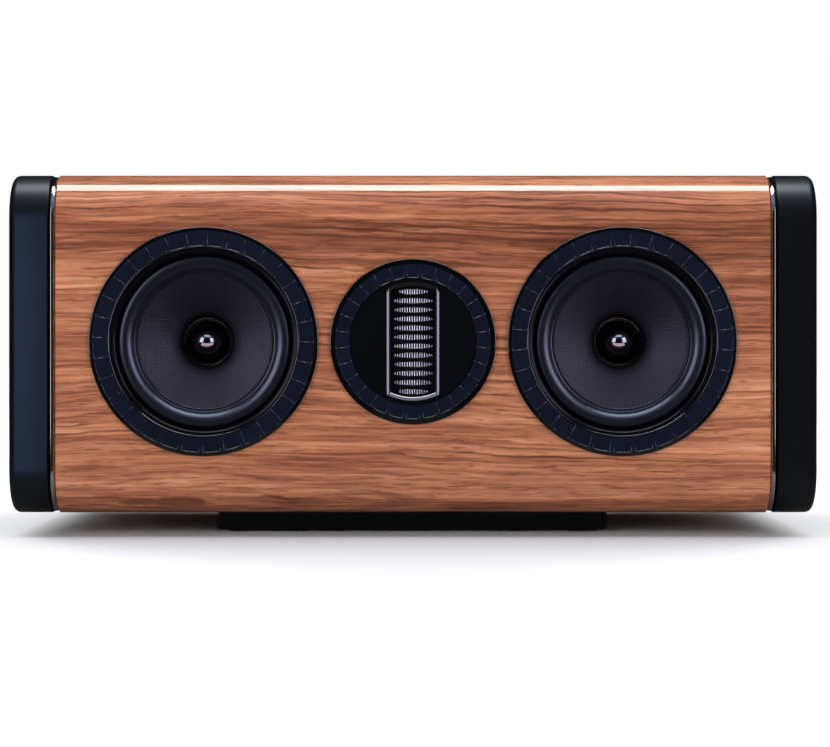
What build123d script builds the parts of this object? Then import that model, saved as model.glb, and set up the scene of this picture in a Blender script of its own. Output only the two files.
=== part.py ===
from build123d import *
import os
from math import pi, sin, sqrt

# Centre channel speaker: two bass drivers either side of a pleated-ribbon tweeter, in a veneered
# cabinet between two black end cheeks, standing on a low plinth.
# Millimetres. +X is the listener's right, the front faces -Y, +Z is up, the floor is Z 0.
# Radii are about each round piece's own axis, depths are behind the baffle's front face.

# Cabinet
cabinet_depth = 320.0
face_margin = 37.0
side_margin = 22.0
driver_height_offset = 1.5
front_radius = 30.0
rear_radius = 20.0
baffle_thickness = 25.0
baffle_lip = 5.0
panel_thickness = 18.0
rear_thickness = 18.0
rear_lip = 4.0
end_board_thickness = 15.0
brace_thickness = 12.0
brace_border = 26.0
brace_window_radius = 15.0

# End cheeks and the bright bands set between them and the cabinet
cheek_thickness = 26.0
cheek_inset = 0.4
cheek_outer_round = 5.0
cheek_inner_round = 0.8
band_gap = 5.0
band_side_clearance = 0.6
band_recess = 1.0
band_height = 5.0
band_round = 1.7
band_clearance = 0.1

# Plinth
plinth_side_setback = 102.5
plinth_setback = 60.0
plinth_height = 13.5
plinth_corner_round = 3.0
plinth_edge_round = 0.8
plinth_screw_inset = 28.0
plinth_screw_length = 24.0
foot_radius = 10.0
foot_proud = 1.5
foot_pocket = 1.5
foot_inset = 16.0
foot_clearance = 0.2

# Trim rings: a bevel, then a face of shallow pockets parted by radial ribs
ring_proud = 3.0
ring_bevel_height = 1.8
ring_bevel_width = 2.4
ring_rim = 0.2
ring_spacing = 7.8
segment_width = 9.8
segment_recess = 0.5
rib_width = 2.2
bass_segments = 32
left_ring_turn = -4.4
right_ring_turn = 0.0
tweeter_segments = 28

# Shared fits
gasket_thickness = 1.0
fit_clearance = 0.5
touch_clearance = 0.05
round_share = 0.45
corner_rows = 2

# Bass driver, moving parts
coil_inner_radius = 15.5
former_thickness = 0.4
former_overlap = 1.5
former_tail = 0.5
winding_thickness = 1.1
winding_length = 12.0
gap_clearance = 0.6
neck_clearance = 0.1
cone_edge_radius = 44.0
cone_depth = 28.1
cone_rim_width = 3.2
cone_rim_drop = 1.8
cone_collar = 1.8
cone_flare = 2.5
cone_thickness = 0.8
glue_width = 2.1
roll_radius = 4.9
surround_thickness = 0.9
surround_lip_thickness = 1.0
surround_lip_width = 5.2
spider_radius = 40.7
spider_lip_width = 5.2
spider_thickness = 0.6
spider_waves = 4
spider_wave_steps = 6
spider_wave_height = 1.1
spider_rise = 2.4
spider_gap = 0.7

# Bass driver, basket and magnet
landing_depth = 8.6
landing_thickness = 3.4
landing_margin = 0.4
landing_step = 1.7
shoulder_drop = 2.0
throat_inset = 1.1
throat_lip = 1.4
throat_drop = 0.6
throat_wall = 2.2
flange_thickness = 5.5
flange_width = 7.3
basket_wall = 3.2
basket_neck_step = 0.6
basket_windows = 6
basket_window_arc = 42.0
basket_seat_drop = 11.0
basket_seat_thickness = 3.0
basket_seat_margin = 2.0
spider_margin = 5.8
magnet_margin = 3.5
top_plate_thickness = 6.0
magnet_radius = 43.0
magnet_gap = 6.4
magnet_thickness = 16.0
plate_inset = 3.0
back_plate_thickness = 6.0
plug_inset = 0.5
plug_length = 31.0
plug_fullness = 0.55
plug_stem_radius = 4.0
plug_stem_length = 12.0
plug_stem_clearance = 0.1
lug_width = 16.0
lug_length = 12.0
lug_thickness = 2.0
lug_tab_width = 4.8
lug_tab_length = 8.0
lug_tab_thickness = 0.8

# Screws
screw_radius = 1.75
screw_head_radius = 3.0
screw_head_height = 2.4
screw_length = 20.0
screw_drive_radius = 1.2
screw_drive_depth = 1.4
bass_screws = 6
tweeter_screws = 4
tweeter_screw_turn = 45.0
wood_screw_radius = 1.75
wood_screw_head_radius = 3.4

# Tweeter
window_half_width = 15.1
window_radius = 36.2
window_round = 2.2
window_rim = 3.0
tweeter_boss_height = 2.2
tweeter_flange_width = 6.5
tweeter_flange_thickness = 4.0
motor_margin = 7.0
motor_clearance = 0.8
grille_thickness = 2.5
slot_rows = 12
slot_margin = 2.4
slot_end_margin = 3.45
slot_end_inset = 3.0
slot_bar = 2.45
pleat_count = 24
pleat_margin = 1.1
pleat_depth = 3.5
foil_thickness = 0.25
foil_tab = 4.0
foil_margin = 1.5
bar_magnet_gap = 1.2
bar_magnet_width = 14.0
bar_magnet_thickness = 10.0
bar_magnet_clearance = 0.4
tweeter_plate_thickness = 3.5
tweeter_plate_clearance = 0.1
vent_rows = 5
vent_pitch = 12.0
vent_length = 24.0
vent_width = 5.0
cup_wall = 1.8
cup_depth = 26.0

# Rear: port and loudspeaker terminals
port_rise = 38.0
port_radius = 26.0
port_wall = 2.5
port_length = 110.0
port_flare = 12.0
port_flange_margin = 3.0
port_flange_thickness = 3.0
port_collar = 7.8
port_clearance = 0.2
terminal_drop = 52.0
terminal_width = 100.0
terminal_plate_height = 60.0
terminal_plate_thickness = 4.0
terminal_corner_round = 6.0
terminal_border = 12.0
terminal_screw_inset = 7.0
terminal_screw_length = 16.0
post_spacing = 38.0
post_boss_radius = 9.5
post_boss_height = 4.0
post_thread_radius = 3.0
post_thread_length = 16.0
post_radius = 4.0
post_length = 22.0
socket_radius = 2.0
socket_depth = 16.5
wire_hole_radius = 1.5
wire_hole_offset = 2.2
washer_radius = 7.5
washer_thickness = 1.5
cap_radius = 9.0
cap_length = 23.5
cap_end_thickness = 2.0
cap_end_hole_radius = 3.2
cap_running_clearance = 0.1
cap_flutes = 16
cap_flute_radius = 1.1
cap_edge_round = 0.8
nut_across_flats = 10.0
nut_thickness = 5.0

# Crossover, leads and lining
board_side_gap = 8.0
board_rear_gap = 47.0
board_thickness = 6.0
board_edge = 17.0
board_row_gap = 8.5
inductor_radius = 17.0
inductor_bore = 7.0
inductor_height = 22.0
capacitor_radius = 9.0
capacitor_length = 36.0
capacitor_count = 4
resistor_length = 26.0
resistor_side = 9.0
cable_radius = 1.8
cable_bend = 8.0
cable_run = 50.0
foam_thickness = 20.0
foam_margin = 15.0

# Bass driver, worked out from the coil outwards
coil_outer_radius = coil_inner_radius + former_thickness
winding_radius = coil_outer_radius + winding_thickness
pole_radius = coil_inner_radius - gap_clearance
plug_radius = pole_radius - plug_inset
top_plate_bore = winding_radius + gap_clearance
magnet_bore = top_plate_bore + magnet_gap
plate_radius = magnet_radius - plate_inset
basket_seat_bore = winding_radius + basket_seat_margin
cone_neck_radius = coil_outer_radius + neck_clearance
cone_rim_radius = cone_edge_radius + cone_rim_width
roll_foot_radius = cone_edge_radius + glue_width
roll_centre_radius = roll_foot_radius + roll_radius
roll_bore_radius = roll_radius - surround_thickness
landing_inner_radius = roll_centre_radius + roll_bore_radius - ring_rim
surround_outer_radius = landing_inner_radius + surround_lip_width
landing_radius = surround_outer_radius + landing_margin
flange_bore_radius = landing_radius + landing_step
basket_neck_radius = flange_bore_radius + basket_neck_step
bass_cutout_radius = basket_neck_radius + fit_clearance
flange_radius = bass_cutout_radius + flange_width
bass_screw_circle = bass_cutout_radius + flange_width / 2
basket_seat_radius = max(spider_radius + spider_margin, magnet_radius + magnet_margin)
throat_radius = flange_bore_radius - throat_inset
view_radius = roll_centre_radius + roll_radius + neck_clearance
bass_segment_inner_radius = throat_radius + throat_lip + ring_rim
bass_segment_outer_radius = bass_segment_inner_radius + segment_width
bass_ring_radius = bass_segment_outer_radius + ring_rim + ring_bevel_width

lip_front_depth = landing_depth - surround_lip_thickness
view_depth = lip_front_depth - landing_margin
landing_back_depth = landing_depth + landing_thickness
shoulder_depth = landing_back_depth + shoulder_drop
cone_rim_depth = landing_depth + cone_rim_drop
cone_neck_depth = cone_rim_depth + cone_depth
former_start_depth = cone_neck_depth - former_overlap
ledge_depth = cone_neck_depth + cone_collar + spider_gap
seat_depth = ledge_depth + basket_seat_drop
seat_front_depth = seat_depth - basket_seat_thickness
magnet_front_depth = seat_depth + top_plate_thickness
back_plate_depth = magnet_front_depth + magnet_thickness
winding_start_depth = seat_depth + top_plate_thickness / 2 - winding_length / 2
winding_end_depth = winding_start_depth + winding_length
shell_slope = (basket_neck_radius - basket_seat_radius) / (seat_front_depth - shoulder_depth)
wall_top_radius = basket_neck_radius - basket_wall
wall_foot_radius = wall_top_radius - shell_slope * (ledge_depth - landing_back_depth)
lug_depth = ledge_depth + basket_wall
lug_radius = basket_neck_radius - shell_slope * (lug_depth - shoulder_depth) + touch_clearance

# Tweeter, worked out from its window outwards
tweeter_boss_radius = window_radius + window_round + window_rim
tweeter_ring_bore = tweeter_boss_radius + ring_rim
tweeter_segment_inner_radius = tweeter_ring_bore + ring_rim
tweeter_segment_outer_radius = tweeter_segment_inner_radius + segment_width
tweeter_ring_radius = tweeter_segment_outer_radius + ring_rim + ring_bevel_width
motor_radius = window_radius + motor_margin
cup_inner_radius = motor_radius - cup_wall
tweeter_cutout_radius = motor_radius + motor_clearance
tweeter_flange_radius = tweeter_cutout_radius + tweeter_flange_width
tweeter_screw_circle = tweeter_cutout_radius + tweeter_flange_width / 2
slot_half_width = window_half_width - slot_margin
slot_reach = window_radius - slot_end_margin
slot_pitch = 2 * slot_reach / (slot_rows - 1)
slot_half_height = (slot_pitch - slot_bar) / 2
pleated_width = 2 * (slot_half_width + pleat_margin)
pleat_pitch = pleated_width / pleat_count
foil_half_height = slot_reach + slot_half_height + foil_margin
bar_magnet_inner = pleated_width / 2 + foil_tab + bar_magnet_gap
bar_magnet_outer = bar_magnet_inner + bar_magnet_width
bar_magnet_height = 2 * sqrt((cup_inner_radius - bar_magnet_clearance) ** 2 - bar_magnet_outer**2)
grille_back_depth = tweeter_flange_thickness + grille_thickness
tweeter_plate_depth = grille_back_depth + bar_magnet_thickness
tweeter_plate_back_depth = tweeter_plate_depth + tweeter_plate_thickness
cup_back_depth = tweeter_plate_back_depth + cup_depth

# Cabinet, worked out from the drivers it carries
bass_x = tweeter_ring_radius + ring_spacing + bass_ring_radius
end_x = bass_x + bass_ring_radius + side_margin
cabinet_width = 2 * end_x
cabinet_height = 2 * (bass_ring_radius + face_margin)
cabinet_base_z = foot_proud + plinth_height
cabinet_mid_z = cabinet_base_z + cabinet_height / 2
driver_z = cabinet_mid_z + driver_height_offset
port_z = cabinet_mid_z + port_rise
terminal_z = cabinet_mid_z - terminal_drop
post_proud = terminal_plate_thickness + post_boss_height + washer_thickness + cap_length
front_y = ring_proud - (ring_proud + cabinet_depth + post_proud) / 2
rear_y = front_y + cabinet_depth
cabinet_mid_y = (front_y + rear_y) / 2
post_base_y = rear_y + terminal_plate_thickness + post_boss_height
cavity_front_y = front_y + baffle_thickness
cavity_rear_y = rear_y - rear_thickness
cavity_mid_y = (cavity_front_y + cavity_rear_y) / 2
cavity_length = cavity_rear_y - cavity_front_y
cavity_height = cabinet_height - 2 * panel_thickness
cavity_floor_z = cabinet_base_z + panel_thickness
baffle_seam_y = cavity_front_y + baffle_lip
rear_seam_y = cavity_rear_y - rear_lip
brace_x = (motor_radius + bass_x - basket_neck_radius) / 2
plinth_width = cabinet_width - 2 * plinth_side_setback
plinth_depth = cabinet_depth - 2 * plinth_setback
plinth_screw_grid = (plinth_width - 2 * plinth_screw_inset, plinth_depth - 2 * plinth_screw_inset)
plinth_screw_reach = plinth_screw_length - plinth_height + fit_clearance
foot_grid = (plinth_width - 2 * foot_inset, plinth_depth - 2 * foot_inset)
plinth_underside = Plane(
    origin=(0, cabinet_mid_y, foot_proud),
    x_dir=(1, 0, 0),
    z_dir=(0, 0, -1),
)
terminal_screw_grid = (
    terminal_width - 2 * terminal_screw_inset,
    terminal_plate_height - 2 * terminal_screw_inset,
)
terminal_screw_reach = terminal_screw_length - terminal_plate_thickness + fit_clearance

# Crossover rows, from the front of its board to the back
board_width = 2 * (brace_x - brace_thickness / 2 - board_side_gap)
board_column = board_width / capacitor_count
board_rear_y = cavity_rear_y - board_rear_gap
resistor_row_y = board_rear_y - board_edge - resistor_side / 2
capacitor_row_y = resistor_row_y - resistor_side / 2 - board_row_gap - capacitor_length / 2
lead_row_y = capacitor_row_y - capacitor_length / 2 - board_row_gap / 2
inductor_row_y = lead_row_y - board_row_gap / 2 - inductor_radius
board_front_y = inductor_row_y - inductor_radius - board_edge
board_top_z = cavity_floor_z + board_thickness

bass_places = {"left": -bass_x, "right": bass_x}
ring_turns = {"left": left_ring_turn, "right": right_ring_turn}
ends = {"left": -1, "right": 1}
post_places = {"red": -post_spacing / 2, "black": post_spacing / 2}


def save(piece, name):
    """Labels a finished piece and writes it as its own STEP file."""
    piece.label = name
    export_step(piece, f"parts/{name}.step")


def profile_plane(x, z=driver_z, y=front_y):
    """Plane through a round piece's axis: local x is its radius, local y its depth behind y."""
    return Plane(origin=(x, y, z), x_dir=(1, 0, 0), z_dir=(0, 0, 1))


def depth_axis(x, z=driver_z):
    """Front-to-back axis of a round piece."""
    return Axis((x, front_y, z), (0, 1, 0))


def front_plane(x, depth, z=driver_z):
    """Plane facing the listener, at a depth behind the baffle's front face."""
    return Plane(origin=(x, front_y + depth, z), x_dir=(1, 0, 0), z_dir=(0, -1, 0))


def back_plane(x, y, z):
    """Plane facing away from the listener."""
    return Plane(origin=(x, y, z), x_dir=(-1, 0, 0), z_dir=(0, 1, 0))


def turned(x, points, z=driver_z, y=front_y):
    """A solid of revolution about a front-to-back axis, from (radius, depth) points."""
    with BuildPart() as piece:
        with BuildSketch(profile_plane(x, z, y)):
            with BuildLine():
                Polyline(*points, close=True)
            make_face()
        revolve(axis=depth_axis(x, z))
    return piece.part


def section(x, inset):
    """The cabinet's rounded cross-section at x, drawn in by inset."""
    with BuildSketch(Plane.YZ.offset(x)) as outline:
        with Locations((cabinet_mid_y, cabinet_mid_z)):
            Rectangle(cabinet_depth - 2 * inset, cabinet_height - 2 * inset)
        fillet(outline.vertices().group_by(Axis.X)[0], front_radius - inset)
        fillet(outline.vertices().group_by(Axis.X)[-1], rear_radius - inset)
    return outline.sketch


# Cabinet panels: four lengths of one rounded section, meeting at seams behind the round edges
with BuildPart() as carcass:
    extrude(section(-end_x, 0), amount=cabinet_width)
    with Locations((0, cavity_mid_y, cabinet_mid_z)):
        Box(cabinet_width, cavity_length, cavity_height, mode=Mode.SUBTRACT)

with BuildPart() as front_baffle:
    add(carcass.part)
    split(bisect_by=Plane.XZ.offset(-baffle_seam_y), keep=Keep.TOP)
    for x in bass_places.values():
        with BuildSketch(front_plane(x, 0)):
            Circle(flange_radius + fit_clearance)
        extrude(amount=-(flange_thickness + gasket_thickness), mode=Mode.SUBTRACT)
        with BuildSketch(front_plane(x, 0)):
            Circle(bass_cutout_radius)
        extrude(amount=-baffle_thickness, mode=Mode.SUBTRACT)
        with BuildSketch(front_plane(x, 0)):
            with PolarLocations(bass_screw_circle, bass_screws):
                Circle(screw_radius + touch_clearance)
        extrude(amount=-(screw_length + fit_clearance), mode=Mode.SUBTRACT)
    with BuildSketch(front_plane(0, 0)):
        Circle(tweeter_flange_radius + fit_clearance)
    extrude(amount=-(tweeter_flange_thickness + gasket_thickness), mode=Mode.SUBTRACT)
    with BuildSketch(front_plane(0, 0)):
        Circle(tweeter_cutout_radius)
    extrude(amount=-baffle_thickness, mode=Mode.SUBTRACT)
    with BuildSketch(front_plane(0, 0)):
        with PolarLocations(tweeter_screw_circle, tweeter_screws, start_angle=tweeter_screw_turn):
            Circle(screw_radius + touch_clearance)
    extrude(amount=-(screw_length + fit_clearance), mode=Mode.SUBTRACT)

with BuildPart() as middle:
    add(carcass.part)
    split(bisect_by=Plane.XZ.offset(-baffle_seam_y), keep=Keep.BOTTOM)
    split(bisect_by=Plane.XZ.offset(-rear_seam_y), keep=Keep.TOP)

with BuildPart() as top_panel:
    add(middle.part)
    split(bisect_by=Plane.XY.offset(cabinet_mid_z), keep=Keep.TOP)

with BuildPart() as bottom_panel:
    add(middle.part)
    split(bisect_by=Plane.XY.offset(cabinet_mid_z), keep=Keep.BOTTOM)
    with BuildSketch(Plane(origin=(0, cabinet_mid_y, cabinet_base_z))):
        with GridLocations(*plinth_screw_grid, corner_rows, corner_rows):
            Circle(wood_screw_radius + touch_clearance)
    extrude(amount=plinth_screw_reach, mode=Mode.SUBTRACT)

with BuildPart() as rear_panel:
    add(carcass.part)
    split(bisect_by=Plane.XZ.offset(-rear_seam_y), keep=Keep.BOTTOM)
    with BuildSketch(back_plane(0, rear_y, port_z)):
        Circle(port_radius + port_collar + port_clearance)
    extrude(amount=-rear_thickness, mode=Mode.SUBTRACT)
    with BuildSketch(back_plane(0, rear_y, terminal_z)):
        Rectangle(terminal_width - 2 * terminal_border, terminal_plate_height - 2 * terminal_border)
    extrude(amount=-rear_thickness, mode=Mode.SUBTRACT)
    with BuildSketch(back_plane(0, rear_y, terminal_z)):
        with GridLocations(*terminal_screw_grid, corner_rows, corner_rows):
            Circle(wood_screw_radius + touch_clearance)
    extrude(amount=-terminal_screw_reach, mode=Mode.SUBTRACT)


def end_board(side):
    """Board that closes one end of the cabinet, let in between the panels."""
    with BuildPart() as board:
        with Locations((side * (end_x - end_board_thickness / 2), cavity_mid_y, cabinet_mid_z)):
            Box(end_board_thickness, cavity_length, cavity_height)
    return board.part


def brace(side):
    """Upright board between the bass driver and the tweeter, with a window through it."""
    with BuildPart() as board:
        with Locations((side * brace_x, cavity_mid_y, cabinet_mid_z)):
            Box(brace_thickness, cavity_length, cavity_height)
        with BuildSketch(Plane.YZ.offset(side * brace_x - brace_thickness / 2)):
            with Locations((cavity_mid_y, cabinet_mid_z)):
                RectangleRounded(
                    cavity_length - 2 * brace_border,
                    cavity_height - 2 * brace_border,
                    brace_window_radius,
                )
        extrude(amount=brace_thickness, mode=Mode.SUBTRACT)
    return board.part


def cheek(side):
    """Black end cheek with a spigot that carries the bright band and meets the end board."""
    with BuildPart() as board:
        extrude(section(side * (end_x + band_gap), cheek_inset), amount=side * cheek_thickness)
        outer_face = board.faces().sort_by(Axis.X)[-1 if side > 0 else 0]
        inner_face = board.faces().sort_by(Axis.X)[0 if side > 0 else -1]
        fillet(outer_face.edges(), cheek_outer_round)
        fillet(inner_face.edges(), cheek_inner_round)
        spigot_inset = band_recess + band_height + band_clearance
        extrude(section(side * end_x, spigot_inset), amount=side * band_gap)
    return board.part


def trim_band(side):
    """Bright metal hoop with a half-round edge, seated on the cheek's spigot."""
    start = side * (end_x + band_side_clearance)
    width = band_gap - 2 * band_side_clearance
    with BuildPart() as hoop:
        extrude(section(start, band_recess), amount=side * width)
        fillet(hoop.faces().filter_by(Axis.X).edges(), min(band_round, round_share * width))
        extrude(section(start, band_recess + band_height), amount=side * width, mode=Mode.SUBTRACT)
    return hoop.part


# Plinth, its screws and its feet
with BuildPart() as plinth:
    with Locations((0, cabinet_mid_y, foot_proud + plinth_height / 2)):
        Box(plinth_width, plinth_depth, plinth_height)
    fillet(plinth.edges().filter_by(Axis.Z), plinth_corner_round)
    fillet(plinth.faces().sort_by(Axis.Z)[0].edges(), plinth_edge_round)
    with BuildSketch(plinth_underside):
        with GridLocations(*foot_grid, corner_rows, corner_rows):
            Circle(foot_radius + foot_clearance)
    extrude(amount=-foot_pocket, mode=Mode.SUBTRACT)
    with Locations(plinth_underside):
        with GridLocations(*plinth_screw_grid, corner_rows, corner_rows):
            CounterSinkHole(
                wood_screw_radius + touch_clearance,
                wood_screw_head_radius + touch_clearance,
                counter_sink_angle=90,
            )

with BuildPart() as plinth_feet:
    with BuildSketch(plinth_underside.offset(-foot_pocket)):
        with GridLocations(*foot_grid, corner_rows, corner_rows):
            Circle(foot_radius)
    extrude(amount=foot_pocket + foot_proud)


def countersunk_screw(place, length):
    """A countersunk wood screw, head flush with the plane's face and shank along its back."""
    head_height = wood_screw_head_radius - wood_screw_radius
    with BuildPart(place) as screw:
        Cylinder(
            wood_screw_radius,
            length,
            align=(Align.CENTER, Align.CENTER, Align.MAX),
        )
        Cone(
            wood_screw_radius,
            wood_screw_head_radius,
            head_height,
            align=(Align.CENTER, Align.CENTER, Align.MAX),
        )
        Cylinder(
            screw_drive_radius,
            screw_drive_depth,
            align=(Align.CENTER, Align.CENTER, Align.MAX),
            mode=Mode.SUBTRACT,
        )
    return screw.part


def screw_group(plane, grid, length):
    """Four countersunk screws on a rectangle, as one group of separate solids."""
    places = [plane * place for place in GridLocations(*grid, corner_rows, corner_rows)]
    return Compound(children=[countersunk_screw(Plane(place), length) for place in places])


def ribbed_ring(x, points, segments, turn, inner_radius):
    """A turned trim ring whose front face has shallow pockets parted by radial ribs."""
    outer_radius = inner_radius + segment_width
    first_rib = turn + 180 / segments
    with BuildPart() as ring:
        with BuildSketch(profile_plane(x)):
            with BuildLine():
                Polyline(*points, close=True)
            make_face()
        revolve(axis=depth_axis(x))
        with BuildSketch(front_plane(x, -ring_proud)):
            Circle(outer_radius)
            Circle(inner_radius, mode=Mode.SUBTRACT)
            with PolarLocations((inner_radius + outer_radius) / 2, segments, start_angle=first_rib):
                Rectangle(segment_width + 2 * ring_rim, rib_width, mode=Mode.SUBTRACT)
        extrude(amount=-segment_recess, mode=Mode.SUBTRACT)
    return ring.part


def ring_front(radius):
    """(radius, depth) points of a trim ring's outer edge and bevel."""
    return [
        (radius, 0),
        (radius, ring_bevel_height - ring_proud),
        (radius - ring_bevel_width, -ring_proud),
    ]


def bass_trim_ring(x, turn):
    """Black trim ring that hides the flange screws and funnels in to the surround."""
    points = ring_front(bass_ring_radius) + [
        (bass_segment_inner_radius - ring_rim, -ring_proud),
        (throat_radius, throat_drop - ring_proud),
        (view_radius, view_depth),
        (view_radius + throat_wall, view_depth),
        (flange_bore_radius - ring_rim, 0),
    ]
    return ribbed_ring(x, points, bass_segments, turn, bass_segment_inner_radius)


def basket(x):
    """Die-cast frame: flange, surround landing, windowed cone, spider ledge and magnet seat."""
    with BuildPart() as frame:
        with BuildSketch(profile_plane(x)):
            with BuildLine():
                Polyline(
                    (flange_bore_radius, 0),
                    (flange_radius, 0),
                    (flange_radius, flange_thickness),
                    (basket_neck_radius, flange_thickness),
                    (basket_neck_radius, shoulder_depth),
                    (basket_seat_radius, seat_front_depth),
                    (basket_seat_radius, seat_depth),
                    (basket_seat_bore, seat_depth),
                    (basket_seat_bore, seat_front_depth),
                    (spider_radius - spider_lip_width, seat_front_depth),
                    (spider_radius - spider_lip_width, ledge_depth),
                    (wall_foot_radius, ledge_depth),
                    (wall_top_radius, landing_back_depth),
                    (landing_inner_radius, landing_back_depth),
                    (landing_inner_radius, landing_depth),
                    (landing_radius, landing_depth),
                    (flange_bore_radius, flange_thickness),
                    close=True,
                )
            make_face()
        revolve(axis=depth_axis(x))
        window_front = shoulder_depth + basket_wall
        window_back = ledge_depth - basket_wall
        for turn in range(basket_windows):
            start = turn * 360 / basket_windows - basket_window_arc / 2
            with BuildSketch(profile_plane(x).rotated((0, start, 0))):
                with BuildLine():
                    Polyline(
                        (wall_foot_radius - basket_wall, window_front),
                        (basket_neck_radius + basket_wall, window_front),
                        (basket_neck_radius + basket_wall, window_back),
                        (wall_foot_radius - basket_wall, window_back),
                        close=True,
                    )
                make_face()
            revolve(axis=depth_axis(x), revolution_arc=basket_window_arc, mode=Mode.SUBTRACT)
        with BuildSketch(front_plane(x, 0)):
            with PolarLocations(bass_screw_circle, bass_screws):
                Circle(screw_radius + touch_clearance)
        extrude(amount=-flange_thickness, mode=Mode.SUBTRACT)
        with BuildSketch(front_plane(x, 0)):
            with PolarLocations(bass_screw_circle, bass_screws):
                Circle(screw_head_radius + touch_clearance)
        extrude(amount=-screw_head_height, mode=Mode.SUBTRACT)
    return frame.part


def surround(x):
    """Rubber half-roll between the basket's landing and the cone's rim."""
    outer_start = roll_centre_radius + sqrt(roll_radius**2 - surround_lip_thickness**2)
    rim_front = cone_rim_depth - surround_lip_thickness
    with BuildPart() as roll:
        with BuildSketch(profile_plane(x)):
            with BuildLine():
                Polyline(
                    (roll_centre_radius + roll_bore_radius, landing_depth),
                    (surround_outer_radius, landing_depth),
                    (surround_outer_radius, lip_front_depth),
                    (outer_start, lip_front_depth),
                )
                ThreePointArc(
                    (outer_start, lip_front_depth),
                    (roll_centre_radius, landing_depth - roll_radius),
                    (roll_foot_radius, landing_depth),
                )
                Polyline(
                    (roll_foot_radius, landing_depth),
                    (roll_foot_radius, rim_front),
                    (cone_edge_radius + ring_rim, rim_front),
                    (cone_edge_radius + ring_rim, cone_rim_depth),
                    (roll_centre_radius - roll_bore_radius, cone_rim_depth),
                    (roll_centre_radius - roll_bore_radius, landing_depth),
                )
                ThreePointArc(
                    (roll_centre_radius - roll_bore_radius, landing_depth),
                    (roll_centre_radius, landing_depth - roll_bore_radius),
                    (roll_centre_radius + roll_bore_radius, landing_depth),
                )
            make_face()
        revolve(axis=depth_axis(x))
    return roll.part


def cone(x):
    """Woven cone: a flat glue rim, a gently flared wall and a collar for the coil former."""
    run = cone_edge_radius - cone_neck_radius
    drop = cone_neck_depth - cone_rim_depth
    chord = sqrt(run**2 + drop**2)
    across = (drop / chord, run / chord)
    middle = (
        cone_neck_radius + run / 2 - cone_flare * across[0],
        cone_rim_depth + drop / 2 - cone_flare * across[1],
    )
    back = (cone_thickness * across[0], cone_thickness * across[1])
    rim_back = cone_rim_depth + cone_thickness
    collar_end = cone_neck_depth + cone_collar
    with BuildPart() as shell:
        with BuildSketch(profile_plane(x)):
            with BuildLine():
                ThreePointArc(
                    (cone_edge_radius, cone_rim_depth),
                    middle,
                    (cone_neck_radius, cone_neck_depth),
                )
                Polyline(
                    (cone_neck_radius, cone_neck_depth),
                    (cone_neck_radius, collar_end),
                    (cone_neck_radius + cone_thickness, collar_end),
                    (cone_neck_radius + cone_thickness, cone_neck_depth + back[1]),
                )
                ThreePointArc(
                    (cone_neck_radius + cone_thickness, cone_neck_depth + back[1]),
                    (middle[0] + back[0], middle[1] + back[1]),
                    (cone_edge_radius + back[0], rim_back),
                )
                Polyline(
                    (cone_edge_radius + back[0], rim_back),
                    (cone_rim_radius, rim_back),
                    (cone_rim_radius, cone_rim_depth),
                    (cone_edge_radius, cone_rim_depth),
                )
            make_face()
        revolve(axis=depth_axis(x))
    return shell.part


def voice_coil(x):
    """Coil former with its bonded winding."""
    return turned(
        x,
        [
            (coil_inner_radius, former_start_depth),
            (coil_outer_radius, former_start_depth),
            (coil_outer_radius, winding_start_depth),
            (winding_radius, winding_start_depth),
            (winding_radius, winding_end_depth),
            (coil_outer_radius, winding_end_depth),
            (coil_outer_radius, winding_end_depth + former_tail),
            (coil_inner_radius, winding_end_depth + former_tail),
        ],
    )


def spider(x):
    """Corrugated suspension disc from the basket's ledge in to the coil former."""
    inner = coil_outer_radius + neck_clearance
    lip = spider_radius - spider_lip_width
    steps = spider_wave_steps * spider_waves
    crest = []
    for step in range(steps + 1):
        share = step / steps
        wave = spider_wave_height * sin(2 * pi * spider_waves * share) * sin(pi * share)
        crest.append((lip + (inner - lip) * share, spider_rise * share + wave))
    front = [(r, ledge_depth - spider_thickness + d) for r, d in crest]
    back = [(r, ledge_depth + d) for r, d in crest]
    return turned(
        x,
        [
            *front,
            *reversed(back),
            (spider_radius, ledge_depth),
            (spider_radius, ledge_depth - spider_thickness),
        ],
    )


def phase_plug(x):
    """Bullet-shaped plug on a stem that fits the pole's bore."""
    tip_depth = seat_depth - plug_length
    with BuildPart() as plug:
        with BuildSketch(profile_plane(x)):
            with BuildLine():
                Bezier(
                    (0, tip_depth),
                    (plug_fullness * plug_radius, tip_depth),
                    (plug_radius, seat_depth - plug_fullness * plug_length),
                    (plug_radius, seat_depth),
                )
                Polyline(
                    (plug_radius, seat_depth),
                    (plug_stem_radius, seat_depth),
                    (plug_stem_radius, seat_depth + plug_stem_length),
                    (0, seat_depth + plug_stem_length),
                    (0, tip_depth),
                )
            make_face()
        revolve(axis=depth_axis(x))
    return plug.part


def top_plate(x):
    """Steel front plate of the magnet, behind the basket's seat."""
    return turned(
        x,
        [
            (top_plate_bore, seat_depth),
            (plate_radius, seat_depth),
            (plate_radius, magnet_front_depth),
            (top_plate_bore, magnet_front_depth),
        ],
    )


def magnet(x):
    """Ferrite ring magnet."""
    return turned(
        x,
        [
            (magnet_bore, magnet_front_depth),
            (magnet_radius, magnet_front_depth),
            (magnet_radius, back_plate_depth),
            (magnet_bore, back_plate_depth),
        ],
    )


def pole_yoke(x):
    """Back plate with the pole that reaches through the magnet, bored for the plug's stem."""
    bore = plug_stem_radius + plug_stem_clearance
    back = back_plate_depth + back_plate_thickness
    return turned(
        x,
        [
            (bore, seat_depth),
            (pole_radius, seat_depth),
            (pole_radius, back_plate_depth),
            (plate_radius, back_plate_depth),
            (plate_radius, back),
            (bore, back),
        ],
    )


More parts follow.
